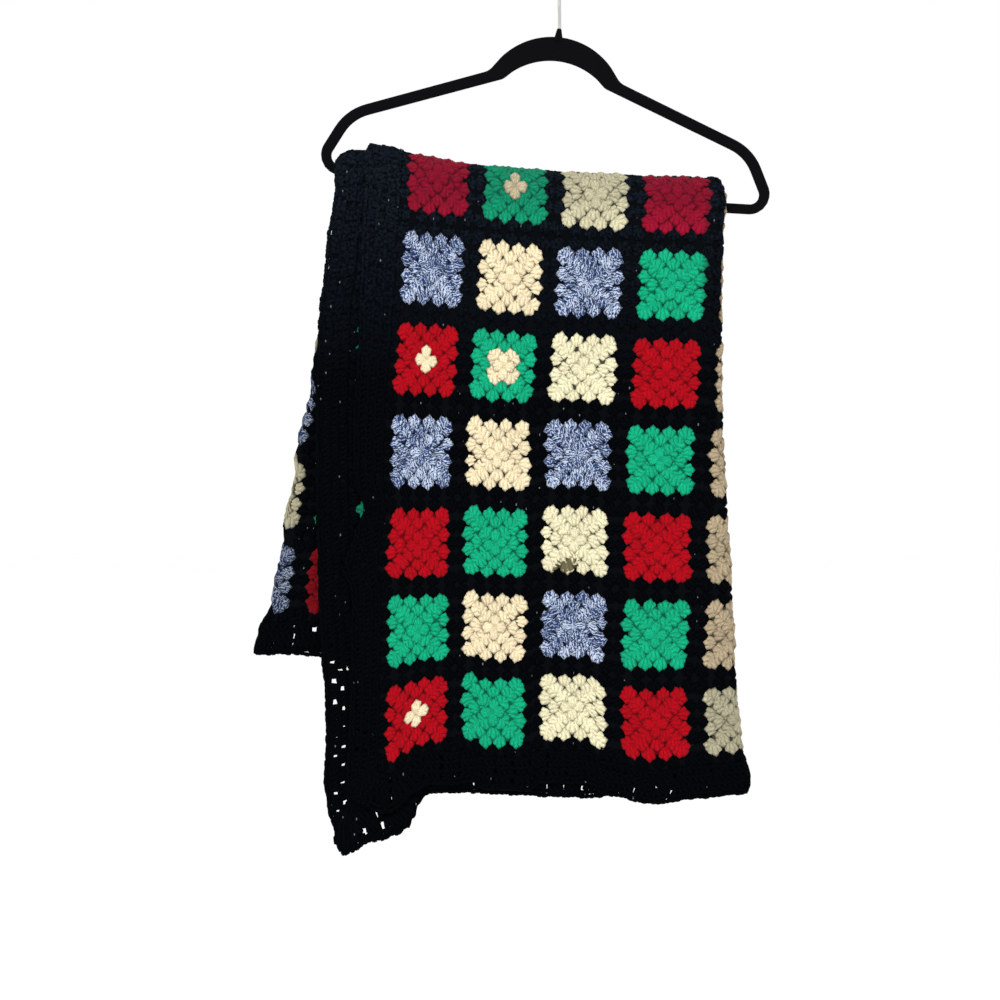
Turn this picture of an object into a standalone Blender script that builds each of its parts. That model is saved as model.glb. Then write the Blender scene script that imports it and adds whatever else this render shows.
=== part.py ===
"""A granny square blanket, folded into four layers and draped over a coat hanger's bar.

Blender 4.5, metres, +Z up. The front of the drape faces -Y. The origin is the seat of the
hanger's hook, the point under which a wardrobe rail holds it. Lengths are named in
millimetres and made metres by MM.

The cloth is one sheet. Across its width it is folded like this, seen from above, with the
front towards the bottom of the sketch:

    hanger bar
    D  .-------------------.        D lies on the bar
    C  '----------------.  |        F1, the left fold, joins C and D
    B  -----------------'  |        F3, the inner right fold, joins B and C
    A   -------------------'        F2, the outer right fold, joins A and D

Along its length the packet of four layers goes up the front, over the bar and down the back.
"""
import math

import bmesh
import bpy
from mathutils import Matrix, Vector

MM = 0.001
SAME_POINT = 0.01  # points closer than this are one

# --- The cloth, flat ---------------------------------------------------------------------
SQUARE = 80.0  # pitch of the granny squares
COLUMNS = 18
ROWS = 12
BORDER = 33.0  # three rounds of crochet
CLOTH = 3.6  # thickness of the double crochet
WIDTH = COLUMNS * SQUARE + 2 * BORDER
LENGTH = ROWS * SQUARE + 2 * BORDER

# --- The hanger --------------------------------------------------------------------------
TILT = math.radians(5.5)  # the right end hangs lower
BAR_MIDDLE = (-16.3, -216.4)  # X and Z of the point that the hanger is turned about
BAR_TOP = 8.3  # above that point, at the bar's ends
BAR_BOTTOM = -1.6
BAR_SAG = 4.0  # at the middle, under the blanket's weight
BAR_HALF = 205.0
HANGER_THICK = 5.5
HANGER_ROUND = 2.2  # rounding of the moulded edges
WIRE = 3.5
HOOK_INSIDE = 20.0  # radius
SEAT_GAP = 0.3  # wire to boss
ARCH_OUTER = 72.0
ARCH_OUTER_MIDDLE = 83.0
ARCH_INNER = 68.0
ARCH_INNER_MIDDLE = 63.1
# Corners of the outline's right half, before they are rounded, and the radius of each
FOOT = ((65.3, 115.4), 16.0)
SHOULDER = ((202.7, 63.4), 52.0)
END = ((235.5, BAR_BOTTOM), 20.0)
FOOT_INNER = ((50.5, 108.6), 12.0)
SHOULDER_INNER = ((194.7, 54.8), 41.0)
END_INNER = ((218.2, BAR_TOP), 9.0)
ARCH_SHARE = 0.84  # the arch's round stretch ends this far out towards its foot
# Points along the arch, the foot, the shoulder, the end and the bar
ARCH_STEPS, FOOT_STEPS, SHOULDER_STEPS, END_STEPS, BAR_STEPS = 14, 5, 7, 9, 8
NUB_TOP = 163.0
NUB_SUNK = 4.0  # how far the boss reaches into the arch
NUB = (4.8, 2.2)  # radius at its foot and its top
NUB_SIDES = 16
# The hook's curve, in degrees round the middle of its bend
HOOK_LEAVES = -52.0
HOOK_MOUTH = 205.0
HOOK_STEPS = 22
HOOK_STEM = 3.0  # straight wire above the boss

# --- How the cloth lies over the bar -----------------------------------------------------
ARC_DROP = 6.0  # the curve over the bar starts this far below the bar's top
ARC_REACH = 6.4  # the bar's middle plane to the middle of layer D
BAR_GAP = 0.5  # layer D to the bar's top
PITCH_AT_BAR = 5.1  # layer to layer, front to back
PITCH_AT_HEM = 7.0
FALL = 600.0  # height over which the layers spread to PITCH_AT_HEM
BACK_STRETCH = 1.027  # the hung squares are longer than the flat ones

# Where the folds run in the cloth: distance across the cloth from A's free edge.
FOLD_LINES = (
    # along,  F2,    F1,    F3
    (0.0, 405.0, 730.0, 1096.0),
    (100.0, 400.0, 730.0, 1096.0),
    (200.0, 392.0, 731.0, 1095.0),
    (300.0, 385.0, 731.0, 1094.0),
    (400.0, 377.0, 732.0, 1093.0),
    (500.0, 372.0, 733.0, 1094.0),
    (565.0, 371.0, 735.0, 1098.0),
    (620.0, 372.0, 746.0, 1115.0),
    (700.0, 373.0, 760.0, 1150.0),
    (800.0, 375.0, 770.0, 1172.0),
    (900.0, 378.0, 775.0, 1180.0),
    (1026.0, 384.0, 782.0, 1190.0),
)
# X of A's free edge, B's free edge and the outsides of the left and right folds.
FRONT_EDGES = (
    # height, A edge, B edge,  F1,     F2
    (-869.0, -213.0, -217.4, -200.0, 180.0),
    (-851.0, -212.0, -221.4, -200.0, 180.0),
    (-816.0, -211.0, -229.2, -200.0, 182.0),
    (-796.0, -210.0, -232.2, -200.0, 187.0),
    (-755.0, -207.5, -230.2, -202.0, 178.0),
    (-710.0, -206.2, -231.0, -203.0, 173.5),
    (-680.0, -205.5, -234.0, -204.0, 171.2),
    (-600.0, -204.2, -238.0, -205.0, 168.5),
    (-520.0, -203.7, -239.5, -205.0, 163.3),
    (-440.0, -203.2, -240.0, -205.0, 159.4),
    (-350.0, -197.8, -238.0, -207.0, 159.5),
    (-275.0, -195.4, -230.0, -210.0, 160.3),
    (-215.0, -192.5, -222.0, -212.0, 164.5),
)
BACK_EDGES = (
    # height, A edge, B edge,  F1,     F2
    (-675.0, -262.0, -188.0, -306.0, 105.0),
    (-651.0, -257.0, -184.0, -300.0, 112.0),
    (-623.0, -250.0, -180.0, -287.0, 121.0),
    (-551.0, -234.0, -172.0, -275.0, 137.0),
    (-479.0, -220.0, -170.0, -263.0, 150.0),
    (-401.0, -208.0, -178.0, -248.0, 158.0),
    (-325.0, -201.0, -193.0, -237.0, 160.0),
    (-262.0, -196.0, -207.0, -223.0, 162.0),
    (-215.0, -193.0, -218.0, -214.0, 163.0),
)
# How far the same four edges draw in over the bar's top, where the packet passes through the
# hanger's window.
TOP_TUCK = (3.5, 14.0, 3.0, -2.0)
# The front hem: its height, and how much of the cloth's length hangs below the curve.
FRONT_HEM = (
    # across, height, hung length
    (0.0, -806.0, 550.0),
    (110.0, -802.0, 550.0),
    (132.0, -798.0, 550.0),
    (142.0, -804.0, 550.0),
    (188.0, -804.0, 550.0),
    (200.0, -797.0, 550.0),
    (245.0, -798.0, 550.0),
    (266.0, -810.0, 550.0),
    (310.0, -819.0, 550.0),
    (354.0, -813.0, 550.0),
    (390.0, -809.0, 549.0),
    (420.0, -800.0, 547.0),
    (445.0, -792.0, 546.0),
    (560.0, -786.0, 545.0),
    (650.0, -784.0, 543.0),
    (735.0, -786.0, 541.0),
    (784.0, -788.0, 536.0),
    (830.0, -797.0, 575.0),
    (1000.0, -795.0, 572.0),
    (1096.0, -795.0, 566.0),
    (1199.0, -800.0, 560.0),
    (1239.0, -813.0, 559.0),
    (1360.0, -808.0, 557.0),
    (1506.0, -808.0, 556.0),
)
# The free corners of A and B sag below their hems, over CORNER_REACH of the cloth's length.
CORNER_SAG = (
    # across, sag
    (0.0, 12.0),
    (44.0, 27.0),
    (90.0, 0.0),
    (1403.0, 0.0),
    (1408.0, 2.0),
    (1415.0, 11.0),
    (1421.0, 23.0),
    (1432.0, 35.0),
    (1443.0, 41.0),
    (1463.0, 47.0),
    (1506.0, 61.0),
)
CORNER_REACH = 190.0
# Layer to layer above the bar's top, where the packet is bunched.
CROWN_PITCH = (
    # X, pitch
    (-219.0, 6.5),
    (-196.0, 6.7),
    (-186.0, 7.1),
    (-168.0, 7.1),
    (-148.0, 5.5),
    (-87.0, 4.4),
    (0.0, 4.9),
    (67.0, 5.7),
    (139.0, 6.7),
    (160.0, 7.3),
)
# Bulges of A's free edge: height of each, half its height, and how far it moves in X. They
# die away over BULGE_REACH of cloth.
BULGE_REACH = 30.0
EDGE_BULGES = (
    # height, half height, X
    (-528.0, 17.0, 12.0),
    (-586.0, 17.0, -9.0),
)
# Soft creases down the front fall; a positive depth goes in.
CREASES = (
    # X, width, starts at height, depth at the hem
    (-98.0, 15.0, -640.0, 6.0),
    (-40.0, 26.0, -520.0, -3.0),
    (30.0, 22.0, -600.0, 3.5),
    (100.0, 34.0, -480.0, -4.0),
    (165.0, 20.0, -560.0, 3.0),
)
HEM_HEIGHT = -810.0
BAR_HEIGHT = -205.0
UNEVEN = 0.08  # squares are narrower near A's free edge

# --- Gaps of the border that show as holes through one layer ------------------------------
GAP = 2.25  # radius
CORNER_GAP = 3.1  # in the sagging corner
HOLE_SIDES = 6
# Y of the two ends of the cutters that cross the front fall's left edge, its right half and the
# back fall's spread edge
LEFT_CUT = (-34.0, -2.0)
FRONT_CUT = (-42.0, -14.0)
BACK_CUT = (2.0, 34.0)
# X and Z of each gap
EDGE_GAPS = (
    (-223.3, -684.0), (-221.4, -704.0), (-219.8, -723.5), (-220.9, -743.0), (-222.0, -763.5),
    (-221.4, -781.5), (-215.9, -675.0), (-213.0, -694.0), (-211.6, -713.0), (-211.5, -732.0),
    (-213.3, -750.0), (-213.3, -772.5),
)
CORNER_GAPS = (
    (-220.4, -802.5), (-213.0, -793.0), (-215.7, -822.0), (-204.5, -810.5), (-201.5, -830.0),
    (-210.0, -843.0), (-191.5, -816.0), (-176.2, -841.5), (-161.0, -835.0),
)
BACK_HEM_GAPS = (
    (-278.0, -645.5), (-260.0, -645.0), (-243.0, -645.0), (-290.0, -652.0), (-270.5, -652.5),
    (-251.5, -654.0), (-283.5, -662.0), (-263.5, -663.0),
)
FRONT_HEM_GAPS = (
    (94.0, -806.5), (114.0, -804.5), (130.0, -801.5), (146.5, -800.0), (166.0, -800.0),
)

# --- Grid of the sheet: points along each stretch of cloth --------------------------------
A_STOPS = (0.0, 0.05, 0.11, 0.17, 0.24, 0.335, 0.37, 0.43, 0.487, 0.52, 0.58, 0.635, 0.69, 0.8, 0.91)
B_STOPS = (0.0, 0.11, 0.23, 0.34, 0.45, 0.56, 0.66, 0.73, 0.76, 0.775, 0.79, 0.82, 0.86, 0.92, 0.96)


def even(steps):
    return tuple(step / steps for step in range(steps))


# Shares of A, F2, D, F1, C, F3 and B
ACROSS_STOPS = (A_STOPS, even(6), even(9), even(4), even(8), even(4), B_STOPS)
FRONT_STOPS = (0.0, 0.03, 0.07, 0.13, 0.2, 0.27, 0.35, 0.44, 0.54, 0.64, 0.74, 0.84, 0.93)
ARC_STEPS = 10
BACK_STOPS = (0.1, 0.22, 0.36, 0.5, 0.64, 0.78, 0.89, 0.95, 1.0)

FRONT, OVER, BACK = range(3)
FIRST_GUESS = (275.0, 580.0, 820.0)  # distance along the cloth, on each of those sides
ROUNDS = 4  # of settling where the folds are at each point of the grid
LAYER_D, LAYER_C, LAYER_B, LAYER_A = range(4)


# --- Small helpers ------------------------------------------------------------------------
def mix(a, b, share):
    return a + (b - a) * share


def between(table, column, at):
    """A column of a table, read smoothly at any value of the first column."""
    for low, high in zip(table, table[1:]):
        if at <= high[0]:
            break
    share = min(max((at - low[0]) / (high[0] - low[0]), 0.0), 1.0)
    return mix(low[column], high[column], share * share * (3 - 2 * share))


def material(name, colour, roughness, metallic=0.0):
    made = bpy.data.materials.new(name)
    made.use_nodes = True
    shader = made.node_tree.nodes["Principled BSDF"]
    shader.inputs["Base Color"].default_value = (*colour, 1.0)
    shader.inputs["Roughness"].default_value = roughness
    shader.inputs["Metallic"].default_value = metallic
    return made


def new_object(name, data, collection, finish=None):
    made = bpy.data.objects.new(name, data)
    collection.objects.link(made)
    if finish:
        data.materials.append(finish)
    return made


def object_from(name, bm, collection, finish=None):
    mesh = bpy.data.meshes.new(name)
    bm.to_mesh(mesh)
    bm.free()
    return new_object(name, mesh, collection, finish)


def mesh_of_curve(curve_object):
    """The curve's evaluated mesh with its caps welded on; the curve is removed."""
    bpy.context.view_layer.update()
    graph = bpy.context.evaluated_depsgraph_get()
    mesh = bpy.data.meshes.new_from_object(curve_object.evaluated_get(graph))
    bm = bmesh.new()
    bm.from_mesh(mesh)
    bmesh.ops.remove_doubles(bm, verts=bm.verts, dist=SAME_POINT * MM)
    bm.to_mesh(mesh)
    bm.free()
    bpy.data.objects.remove(curve_object)
    return mesh


def boolean(target, cutter, operation):
    made = target.modifiers.new(operation.title(), "BOOLEAN")
    made.operation = operation
    made.object = cutter


def arc(centre, radius, start, end, steps):
    """Points on a round stretch, in millimetres; angles in degrees."""
    angles = [math.radians(mix(start, end, i / steps)) for i in range(steps + 1)]
    return [(centre[0] + radius * math.cos(a), centre[1] + radius * math.sin(a)) for a in angles]


# --- The drape: where a point of the cloth lies --------------------------------------------
def bar_top(x):
    """Height of the bar's top, which slopes with the hanger and sags in its middle."""
    along = x - BAR_MIDDLE[0]
    return BAR_MIDDLE[1] + (BAR_TOP - bar_sag(along)) / math.cos(TILT) - math.tan(TILT) * along


def bar_sag(along):
    return BAR_SAG * max(1 - (along / BAR_HALF) ** 2, 0.0)


def pitch(drop):
    return mix(PITCH_AT_BAR, PITCH_AT_HEM, min(max(drop / FALL, 0.0), 1.0))


def edges(height, side, share_over=0.0):
    """X of the A edge, B edge, F1 and F2 at a height of the front or back, or over the bar."""
    front = [between(FRONT_EDGES, column, height) for column in range(1, 5)]
    back = [between(BACK_EDGES, column, height) for column in range(1, 5)]
    if side == FRONT:
        return front
    if side == BACK:
        return back
    tucks = [tuck * math.sin(math.pi * share_over) ** 3 for tuck in TOP_TUCK]
    return [mix(f, b, share_over) + tuck for f, b, tuck in zip(front, back, tucks)]


def across(u, v, drop, found_edges, height):
    """X of a point of the cloth, and its layer: 3 in A, 2 in B, 1 in C and 0 in D."""
    edge_a, edge_b, outside_f1, outside_f2 = found_edges
    f2, f1, f3 = (between(FOLD_LINES, column, v) for column in (1, 2, 3))
    small = pitch(drop) / 2  # radius of the inner folds
    large = 3 * small
    right = outside_f2 - CLOTH / 2 - large
    left = outside_f1 + CLOTH / 2 + small
    quarter_small = math.pi * small / 2
    quarter_large = math.pi * large / 2
    if u < f2 - quarter_large:
        share = u / (f2 - quarter_large)
        x = mix(edge_a, right, share - UNEVEN * share * (1 - share))
        for middle, half, reach in EDGE_BULGES:
            x += reach * math.exp(-(((height - middle) / half) ** 2) - u / BULGE_REACH)
        return x, LAYER_A
    if u < f2 + quarter_large:
        angle = (u - f2) / large
        return right + large * math.cos(angle), 1.5 - 1.5 * math.sin(angle)
    if u < f1 - quarter_small:
        start = f2 + quarter_large
        return mix(right, left, (u - start) / (f1 - quarter_small - start)), LAYER_D
    if u < f1 + quarter_small:
        angle = (u - f1) / small
        return left - small * math.cos(angle), 0.5 + 0.5 * math.sin(angle)
    if u < f3 - quarter_small:
        start = f1 + quarter_small
        return mix(left, right, (u - start) / (f3 - quarter_small - start)), LAYER_C
    if u < f3 + quarter_small:
        angle = (u - f3) / small
        return right + small * math.cos(angle), 1.5 + 0.5 * math.sin(angle)
    start = f3 + quarter_small
    return mix(right, edge_b, (u - start) / (WIDTH - start)), LAYER_B


def at_bar(u, v, share):
    """X and layer of a point at the curve over the bar, from its front (0) to its back (1)."""
    return across(u, v, 0.0, edges(BAR_HEIGHT, OVER, share), 0.0)


def creases(x, height):
    depth = 0.0
    for middle, width, top, at_hem in CREASES:
        share = min(max((top - height) / (top - HEM_HEIGHT), 0.0), 1.1)
        depth += at_hem * share * math.exp(-(((x - middle) / width) ** 2))
    return depth


def hung_length(u):
    """How much of the cloth hangs in front, up to where the curve over the bar starts."""
    return between(FRONT_HEM, 2, u)


def arc_length(x, layer):
    reach, rise = ellipse(x, layer)
    return math.pi * math.sqrt((reach**2 + rise**2) / 2)


def ellipse(x, layer):
    """Half width and half height of a layer's curve over the bar."""
    rise = ARC_DROP + BAR_GAP + CLOTH / 2 + layer * between(CROWN_PITCH, 1, x)
    return ARC_REACH + layer * PITCH_AT_BAR, rise


def place(u, v):
    """The point in space, in millimetres, of a point of the flat cloth's middle surface.

    u runs across the cloth from A's free edge, v runs along it from the front hem.
    """
    hung = hung_length(u)
    over = arc_length(*at_bar(u, v, 0.5))
    share = min(max((v - hung) / over, 0.0), 1.0)
    x, layer = at_bar(u, v, share)
    start = bar_top(x) - ARC_DROP
    if v < hung:
        hem = between(FRONT_HEM, 1, u)
        stretch = (start - hem - BORDER) / (hung - BORDER)
        height = hem + min(v, BORDER) + max(v - BORDER, 0.0) * stretch
        height -= between(CORNER_SAG, 1, u) * max(1 - v / CORNER_REACH, 0.0) ** 1.5
        drop = start - height
        x, layer = across(u, v, drop, edges(height, FRONT), height)
        y = -ARC_REACH - layer * pitch(drop) + creases(x, height)
        return Vector((x, y, height))
    if v < hung + over:
        reach, rise = ellipse(x, layer)
        angle = math.pi * share
        return Vector((x, -reach * math.cos(angle), start + rise * math.sin(angle)))
    down = v - hung - over
    left = LENGTH - BORDER - hung - over
    height = start - min(down, left) * BACK_STRETCH - max(down - left, 0.0)
    drop = start - height
    x, layer = across(u, v, drop, edges(height, BACK), height)
    return Vector((x, ARC_REACH + layer * pitch(drop), height))


def fold_stops(v):
    """Distances across the cloth of the ends of A, F2, D, F1, C, F3 and B."""
    f2, f1, f3 = (between(FOLD_LINES, column, v) for column in (1, 2, 3))
    bend = math.pi * PITCH_AT_BAR / 4
    return (0.0, f2 - 3 * bend, f2 + 3 * bend, f1 - bend, f1 + bend, f3 - bend, f3 + bend, WIDTH)


def sheet_stations():
    """For each row of the grid: which side it is on, and its share of that side."""
    rows = [(FRONT, stop) for stop in FRONT_STOPS]
    rows += [(OVER, step / ARC_STEPS) for step in range(ARC_STEPS + 1)]
    return rows + [(BACK, stop) for stop in BACK_STOPS]


def station_v(station, u, v_guess):
    side, share = station
    hung = hung_length(u)
    over = arc_length(*at_bar(u, v_guess, 0.5))
    if side == FRONT:
        return share * hung
    if side == OVER:
        return hung + share * over
    return mix(hung + over, LENGTH, share)


def build_blanket(collection, cutters):
    """One sheet: a flat grid whose points are moved to where the cloth hangs, given its thickness."""
    finish = material("crocheted wool, mixed colours", (0.05, 0.045, 0.05), 0.95)
    stations = sheet_stations()
    columns = [
        (stretch, stop) for stretch, stops in enumerate(ACROSS_STOPS) for stop in stops
    ]
    columns.append((len(ACROSS_STOPS) - 1, 1.0))
    bm = bmesh.new()
    bmesh.ops.create_grid(
        bm, x_segments=len(columns) - 1, y_segments=len(stations) - 1, size=0.5
    )
    for vert in bm.verts:
        stretch, share = columns[round((vert.co.x + 0.5) * (len(columns) - 1))]
        station = stations[round((vert.co.y + 0.5) * (len(stations) - 1))]
        v = FIRST_GUESS[station[0]]
        for _ in range(ROUNDS):
            stops = fold_stops(v)
            u = mix(stops[stretch], stops[stretch + 1], share)
            v = station_v(station, u, v)
        vert.co = place(u, v) * MM
    bmesh.ops.recalc_face_normals(bm, faces=bm.faces)
    blanket = object_from("blanket", bm, collection, finish)
    blanket.data.shade_smooth()
    thick = blanket.modifiers.new("Thickness", "SOLIDIFY")
    thick.thickness = CLOTH * MM
    thick.offset = 0.0
    boolean(blanket, build_gap_cutters(cutters), "DIFFERENCE")
    return blanket


def build_gap_cutters(cutters):
    """Short prisms along Y, one for each gap of the border, joined in one object."""
    groups = (
        (EDGE_GAPS, GAP, LEFT_CUT),
        (CORNER_GAPS, CORNER_GAP, LEFT_CUT),
        (BACK_HEM_GAPS, GAP, BACK_CUT),
        (FRONT_HEM_GAPS, GAP, FRONT_CUT),
    )
    turn = Matrix.Rotation(math.pi / 2, 4, "X")
    bm = bmesh.new()
    for gaps, radius, (near, far) in groups:
        for x, z in gaps:
            spot = Matrix.Translation(Vector((x, (near + far) / 2, z)) * MM)
            bmesh.ops.create_cone(
                bm,
                cap_ends=True,
                segments=HOLE_SIDES,
                radius1=radius * MM,
                radius2=radius * MM,
                depth=(far - near) * MM,
                matrix=spot @ turn,
            )
    made = object_from("border gaps", bm, cutters)
    made.hide_render = True
    made.display_type = "WIRE"
    return made


# --- The hanger ----------------------------------------------------------------------------

def rounded(corner, before, after, radius, steps):
    """Points of the arc that rounds a corner between the directions to two other points."""
    corner, before, after = Vector(corner), Vector(before), Vector(after)
    to_before = (before - corner).normalized()
    to_after = (after - corner).normalized()
    half = to_before.angle(to_after) / 2
    run = radius / math.tan(half)
    start, end = corner + to_before * run, corner + to_after * run
    centre = corner + (to_before + to_after).normalized() * (radius / math.sin(half))
    found = []
    for step in range(steps + 1):
        toward = mix(start, end, step / steps) - centre
        found.append(tuple(centre + toward.normalized() * radius))
    return found


def half_outline(arch, foot, shoulder, end):
    """The right half of one outline, from the top of the arch to the middle of the bar."""
    middle, radius = arch
    arch_end = math.degrees(math.acos(ARCH_SHARE * foot[0][0] / radius))
    points = arc((0.0, middle), radius, 90.0, arch_end, ARCH_STEPS)
    points += rounded(foot[0], points[-1], shoulder[0], foot[1], FOOT_STEPS)
    points += rounded(shoulder[0], foot[0], end[0], shoulder[1], SHOULDER_STEPS)
    points += rounded(end[0], shoulder[0], (0.0, end[0][1]), end[1], END_STEPS)
    reach = points[-1][0]
    for step in range(1, BAR_STEPS + 1):
        x = mix(reach, 0.0, step / BAR_STEPS)
        points.append((x, end[0][1] - bar_sag(x)))
    return points


def add_loop(curve, half):
    """A closed outline from its right half, mirrored in X = 0."""
    mirrored = [(-x, y) for x, y in reversed(half) if x > SAME_POINT]
    points = half + mirrored
    spline = curve.splines.new("POLY")
    spline.points.add(len(points) - 1)
    for spot, (x, y) in zip(spline.points, points):
        spot.co = (x * MM, y * MM, 0.0, 1.0)
    spline.use_cyclic_u = True


def build_hanger_body(collection, cutters):
    finish = material("black flocked plastic", (0.012, 0.012, 0.013), 0.95)
    outline = bpy.data.curves.new("hanger outline", "CURVE")
    outline.dimensions = "2D"
    outline.fill_mode = "BOTH"
    outline.extrude = (HANGER_THICK / 2 - HANGER_ROUND) * MM
    outline.bevel_depth = HANGER_ROUND * MM
    outline.bevel_resolution = 1
    outline.offset = -HANGER_ROUND * MM
    outer_arch = (ARCH_OUTER_MIDDLE, ARCH_OUTER)
    inner_arch = (ARCH_INNER_MIDDLE, ARCH_INNER)
    add_loop(outline, half_outline(outer_arch, FOOT, SHOULDER, END))
    add_loop(outline, half_outline(inner_arch, FOOT_INNER, SHOULDER_INNER, END_INNER))
    flat = new_object("hanger outline", outline, collection)
    mesh = mesh_of_curve(flat)
    stand = Matrix.Rotation(math.pi / 2, 4, "X")
    tilt = Matrix.Rotation(TILT, 4, "Y")
    spot = Matrix.Translation(Vector((BAR_MIDDLE[0], 0.0, BAR_MIDDLE[1])) * MM)
    mesh.transform(spot @ tilt @ stand)
    body = new_object("hanger_body", mesh, collection, finish)
    boolean(body, build_nub(cutters, spot @ tilt), "UNION")
    return body


def build_nub(cutters, frame):
    """The small boss on the arch that the wire is set in; it is moulded with the body."""
    bm = bmesh.new()
    depth = NUB_TOP - ARCH_OUTER_MIDDLE - ARCH_OUTER + NUB_SUNK
    bmesh.ops.create_cone(
        bm,
        cap_ends=True,
        segments=NUB_SIDES,
        radius1=NUB[0] * MM,
        radius2=NUB[1] * MM,
        depth=depth * MM,
        matrix=frame @ Matrix.Translation(Vector((0.0, 0.0, NUB_TOP - depth / 2)) * MM),
    )
    nub = object_from("hanger boss", bm, cutters)
    nub.hide_render = True
    nub.display_type = "WIRE"
    return nub


def hanger_up():
    return Vector((math.sin(TILT), 0.0, math.cos(TILT)))


def hook_route():
    """The wire's middle line in the Y-Z plane, with the seat at the origin."""
    ring = HOOK_INSIDE + WIRE / 2
    middle = -HOOK_INSIDE
    up = hanger_up()
    nub_top = Vector((BAR_MIDDLE[0], 0.0, BAR_MIDDLE[1])) + up * NUB_TOP
    route = [nub_top + up * lift for lift in (SEAT_GAP, SEAT_GAP + HOOK_STEM)]
    for step in range(HOOK_STEPS + 1):
        angle = math.radians(mix(HOOK_LEAVES, HOOK_MOUTH, step / HOOK_STEPS))
        route.append(Vector((0.0, ring * math.cos(angle), middle + ring * math.sin(angle))))
    return route


def build_hook(collection):
    finish = material("chromed steel wire", (0.62, 0.62, 0.64), 0.22, 1.0)
    wire = bpy.data.curves.new("hook wire", "CURVE")
    wire.dimensions = "3D"
    wire.bevel_depth = WIRE / 2 * MM
    wire.bevel_resolution = 2
    wire.use_fill_caps = True
    spline = wire.splines.new("POLY")
    route = hook_route()
    spline.points.add(len(route) - 1)
    for spot, point in zip(spline.points, route):
        spot.co = (*(point * MM), 1.0)
    flat = new_object("hook wire", wire, collection)
    return new_object("hanger_hook", mesh_of_curve(flat), collection, finish)


def main():
    for old in list(bpy.data.objects):
        bpy.data.objects.remove(old)
    collection = bpy.data.collections.new("granny square blanket on a coat hanger")
    cutters = bpy.data.collections.new("cutters")
    for made in (collection, cutters):
        bpy.context.scene.collection.children.link(made)
    build_blanket(collection, cutters)
    build_hanger_body(collection, cutters)
    build_hook(collection)


main()
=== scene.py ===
# %% [markdown]
# # A granny square blanket on a coat hanger
#
# The blanket is crocheted wool: small squares, each worked outwards from its middle in four
# coloured rounds, then joined with a black round, with three black rounds all the way about the
# edge. It is folded into four layers and laid over the bar of a flocked hanger.
#
# The stitches are made as real shapes. Each kind of stitch, such as the cluster of three double
# crochets that the squares are worked in, is modelled once and copied to every place it has in
# the flat cloth. One function then hangs the flat cloth over the bar. Bump in a material would be
# quicker, but the scalloped edges of the squares and the holes of the border only look right when
# they are shapes.

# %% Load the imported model
import math

import bmesh
import bpy
import numpy as np
from mathutils import Matrix, Vector


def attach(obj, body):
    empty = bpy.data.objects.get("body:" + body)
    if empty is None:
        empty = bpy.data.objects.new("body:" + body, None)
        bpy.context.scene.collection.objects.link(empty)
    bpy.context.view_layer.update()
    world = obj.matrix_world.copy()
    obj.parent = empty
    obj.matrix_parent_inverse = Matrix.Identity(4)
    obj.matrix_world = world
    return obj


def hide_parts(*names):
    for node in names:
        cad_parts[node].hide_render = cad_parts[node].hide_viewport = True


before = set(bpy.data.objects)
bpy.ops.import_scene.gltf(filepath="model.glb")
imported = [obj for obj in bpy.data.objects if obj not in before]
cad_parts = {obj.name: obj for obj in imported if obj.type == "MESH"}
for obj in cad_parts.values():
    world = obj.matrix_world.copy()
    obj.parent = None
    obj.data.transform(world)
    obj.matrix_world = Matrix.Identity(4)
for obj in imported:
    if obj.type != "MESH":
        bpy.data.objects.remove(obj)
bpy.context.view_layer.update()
MM = 0.001
scene = bpy.context.scene
scene.view_settings.view_transform = "Standard"  # so that white paper stays white
print("nodes:", sorted(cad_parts))

# %% [markdown]
# ## Two helpers
#
# A dyer's card gives colours as sRGB hex, and Blender reckons in linear light, so one function
# turns the first into the second. Another adds a node with its settings and links in one line,
# which keeps each material below short enough to read.

# %% Colours and nodes
def hex_colour(text):
    """An sRGB hex colour as linear numbers, with an alpha of 1."""
    parts = [int(text[i : i + 2], 16) / 255 for i in (1, 3, 5)]
    return (*[p / 12.92 if p <= 0.04045 else ((p + 0.055) / 1.055) ** 2.4 for p in parts], 1.0)


def add_node(tree, kind, inputs, **settings):
    """A node with its inputs: each is a number or colour, another node, or a node's output."""
    node = tree.nodes.new("ShaderNode" + kind)
    for name, value in settings.items():
        setattr(node, name, value)
    for name, value in inputs.items():
        if isinstance(value, bpy.types.Node):
            value = value.outputs[0]
        if isinstance(value, bpy.types.NodeSocket):
            tree.links.new(value, node.inputs[name])
        else:
            node.inputs[name].default_value = value
    return node


print("mid grey in linear light:", round(hex_colour("#808080")[0], 3))

# %% [markdown]
# ## Camera and light
#
# The camera is level, two metres in front and a little left of the hook. A view 990 mm wide at
# the hanger gives the focal length.

# %% Set the camera
CAMERA_AT = (-59.4, -2000.0, -520.3)  # mm
VIEW_WIDTH = 990.0  # mm, at the hanger
SENSOR = 36.0  # mm

camera_data = bpy.data.cameras.new("camera")
camera_data.sensor_width = SENSOR
camera_data.lens = SENSOR * -CAMERA_AT[1] / VIEW_WIDTH
camera = bpy.data.objects.new("camera", camera_data)
camera.location = Vector(CAMERA_AT) * MM
camera.rotation_euler = (math.pi / 2, 0.0, 0.0)
scene.collection.objects.link(camera)
scene.camera = camera
print("focal length", round(camera_data.lens, 2), "mm")

# %% [markdown]
# The light is that of a white tent: a pale sky from everywhere, and one large soft lamp from the
# front and above, so that the yarn has some shape. White paper lies well below the hem. It is
# only the stage, and not a piece of the object.

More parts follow.
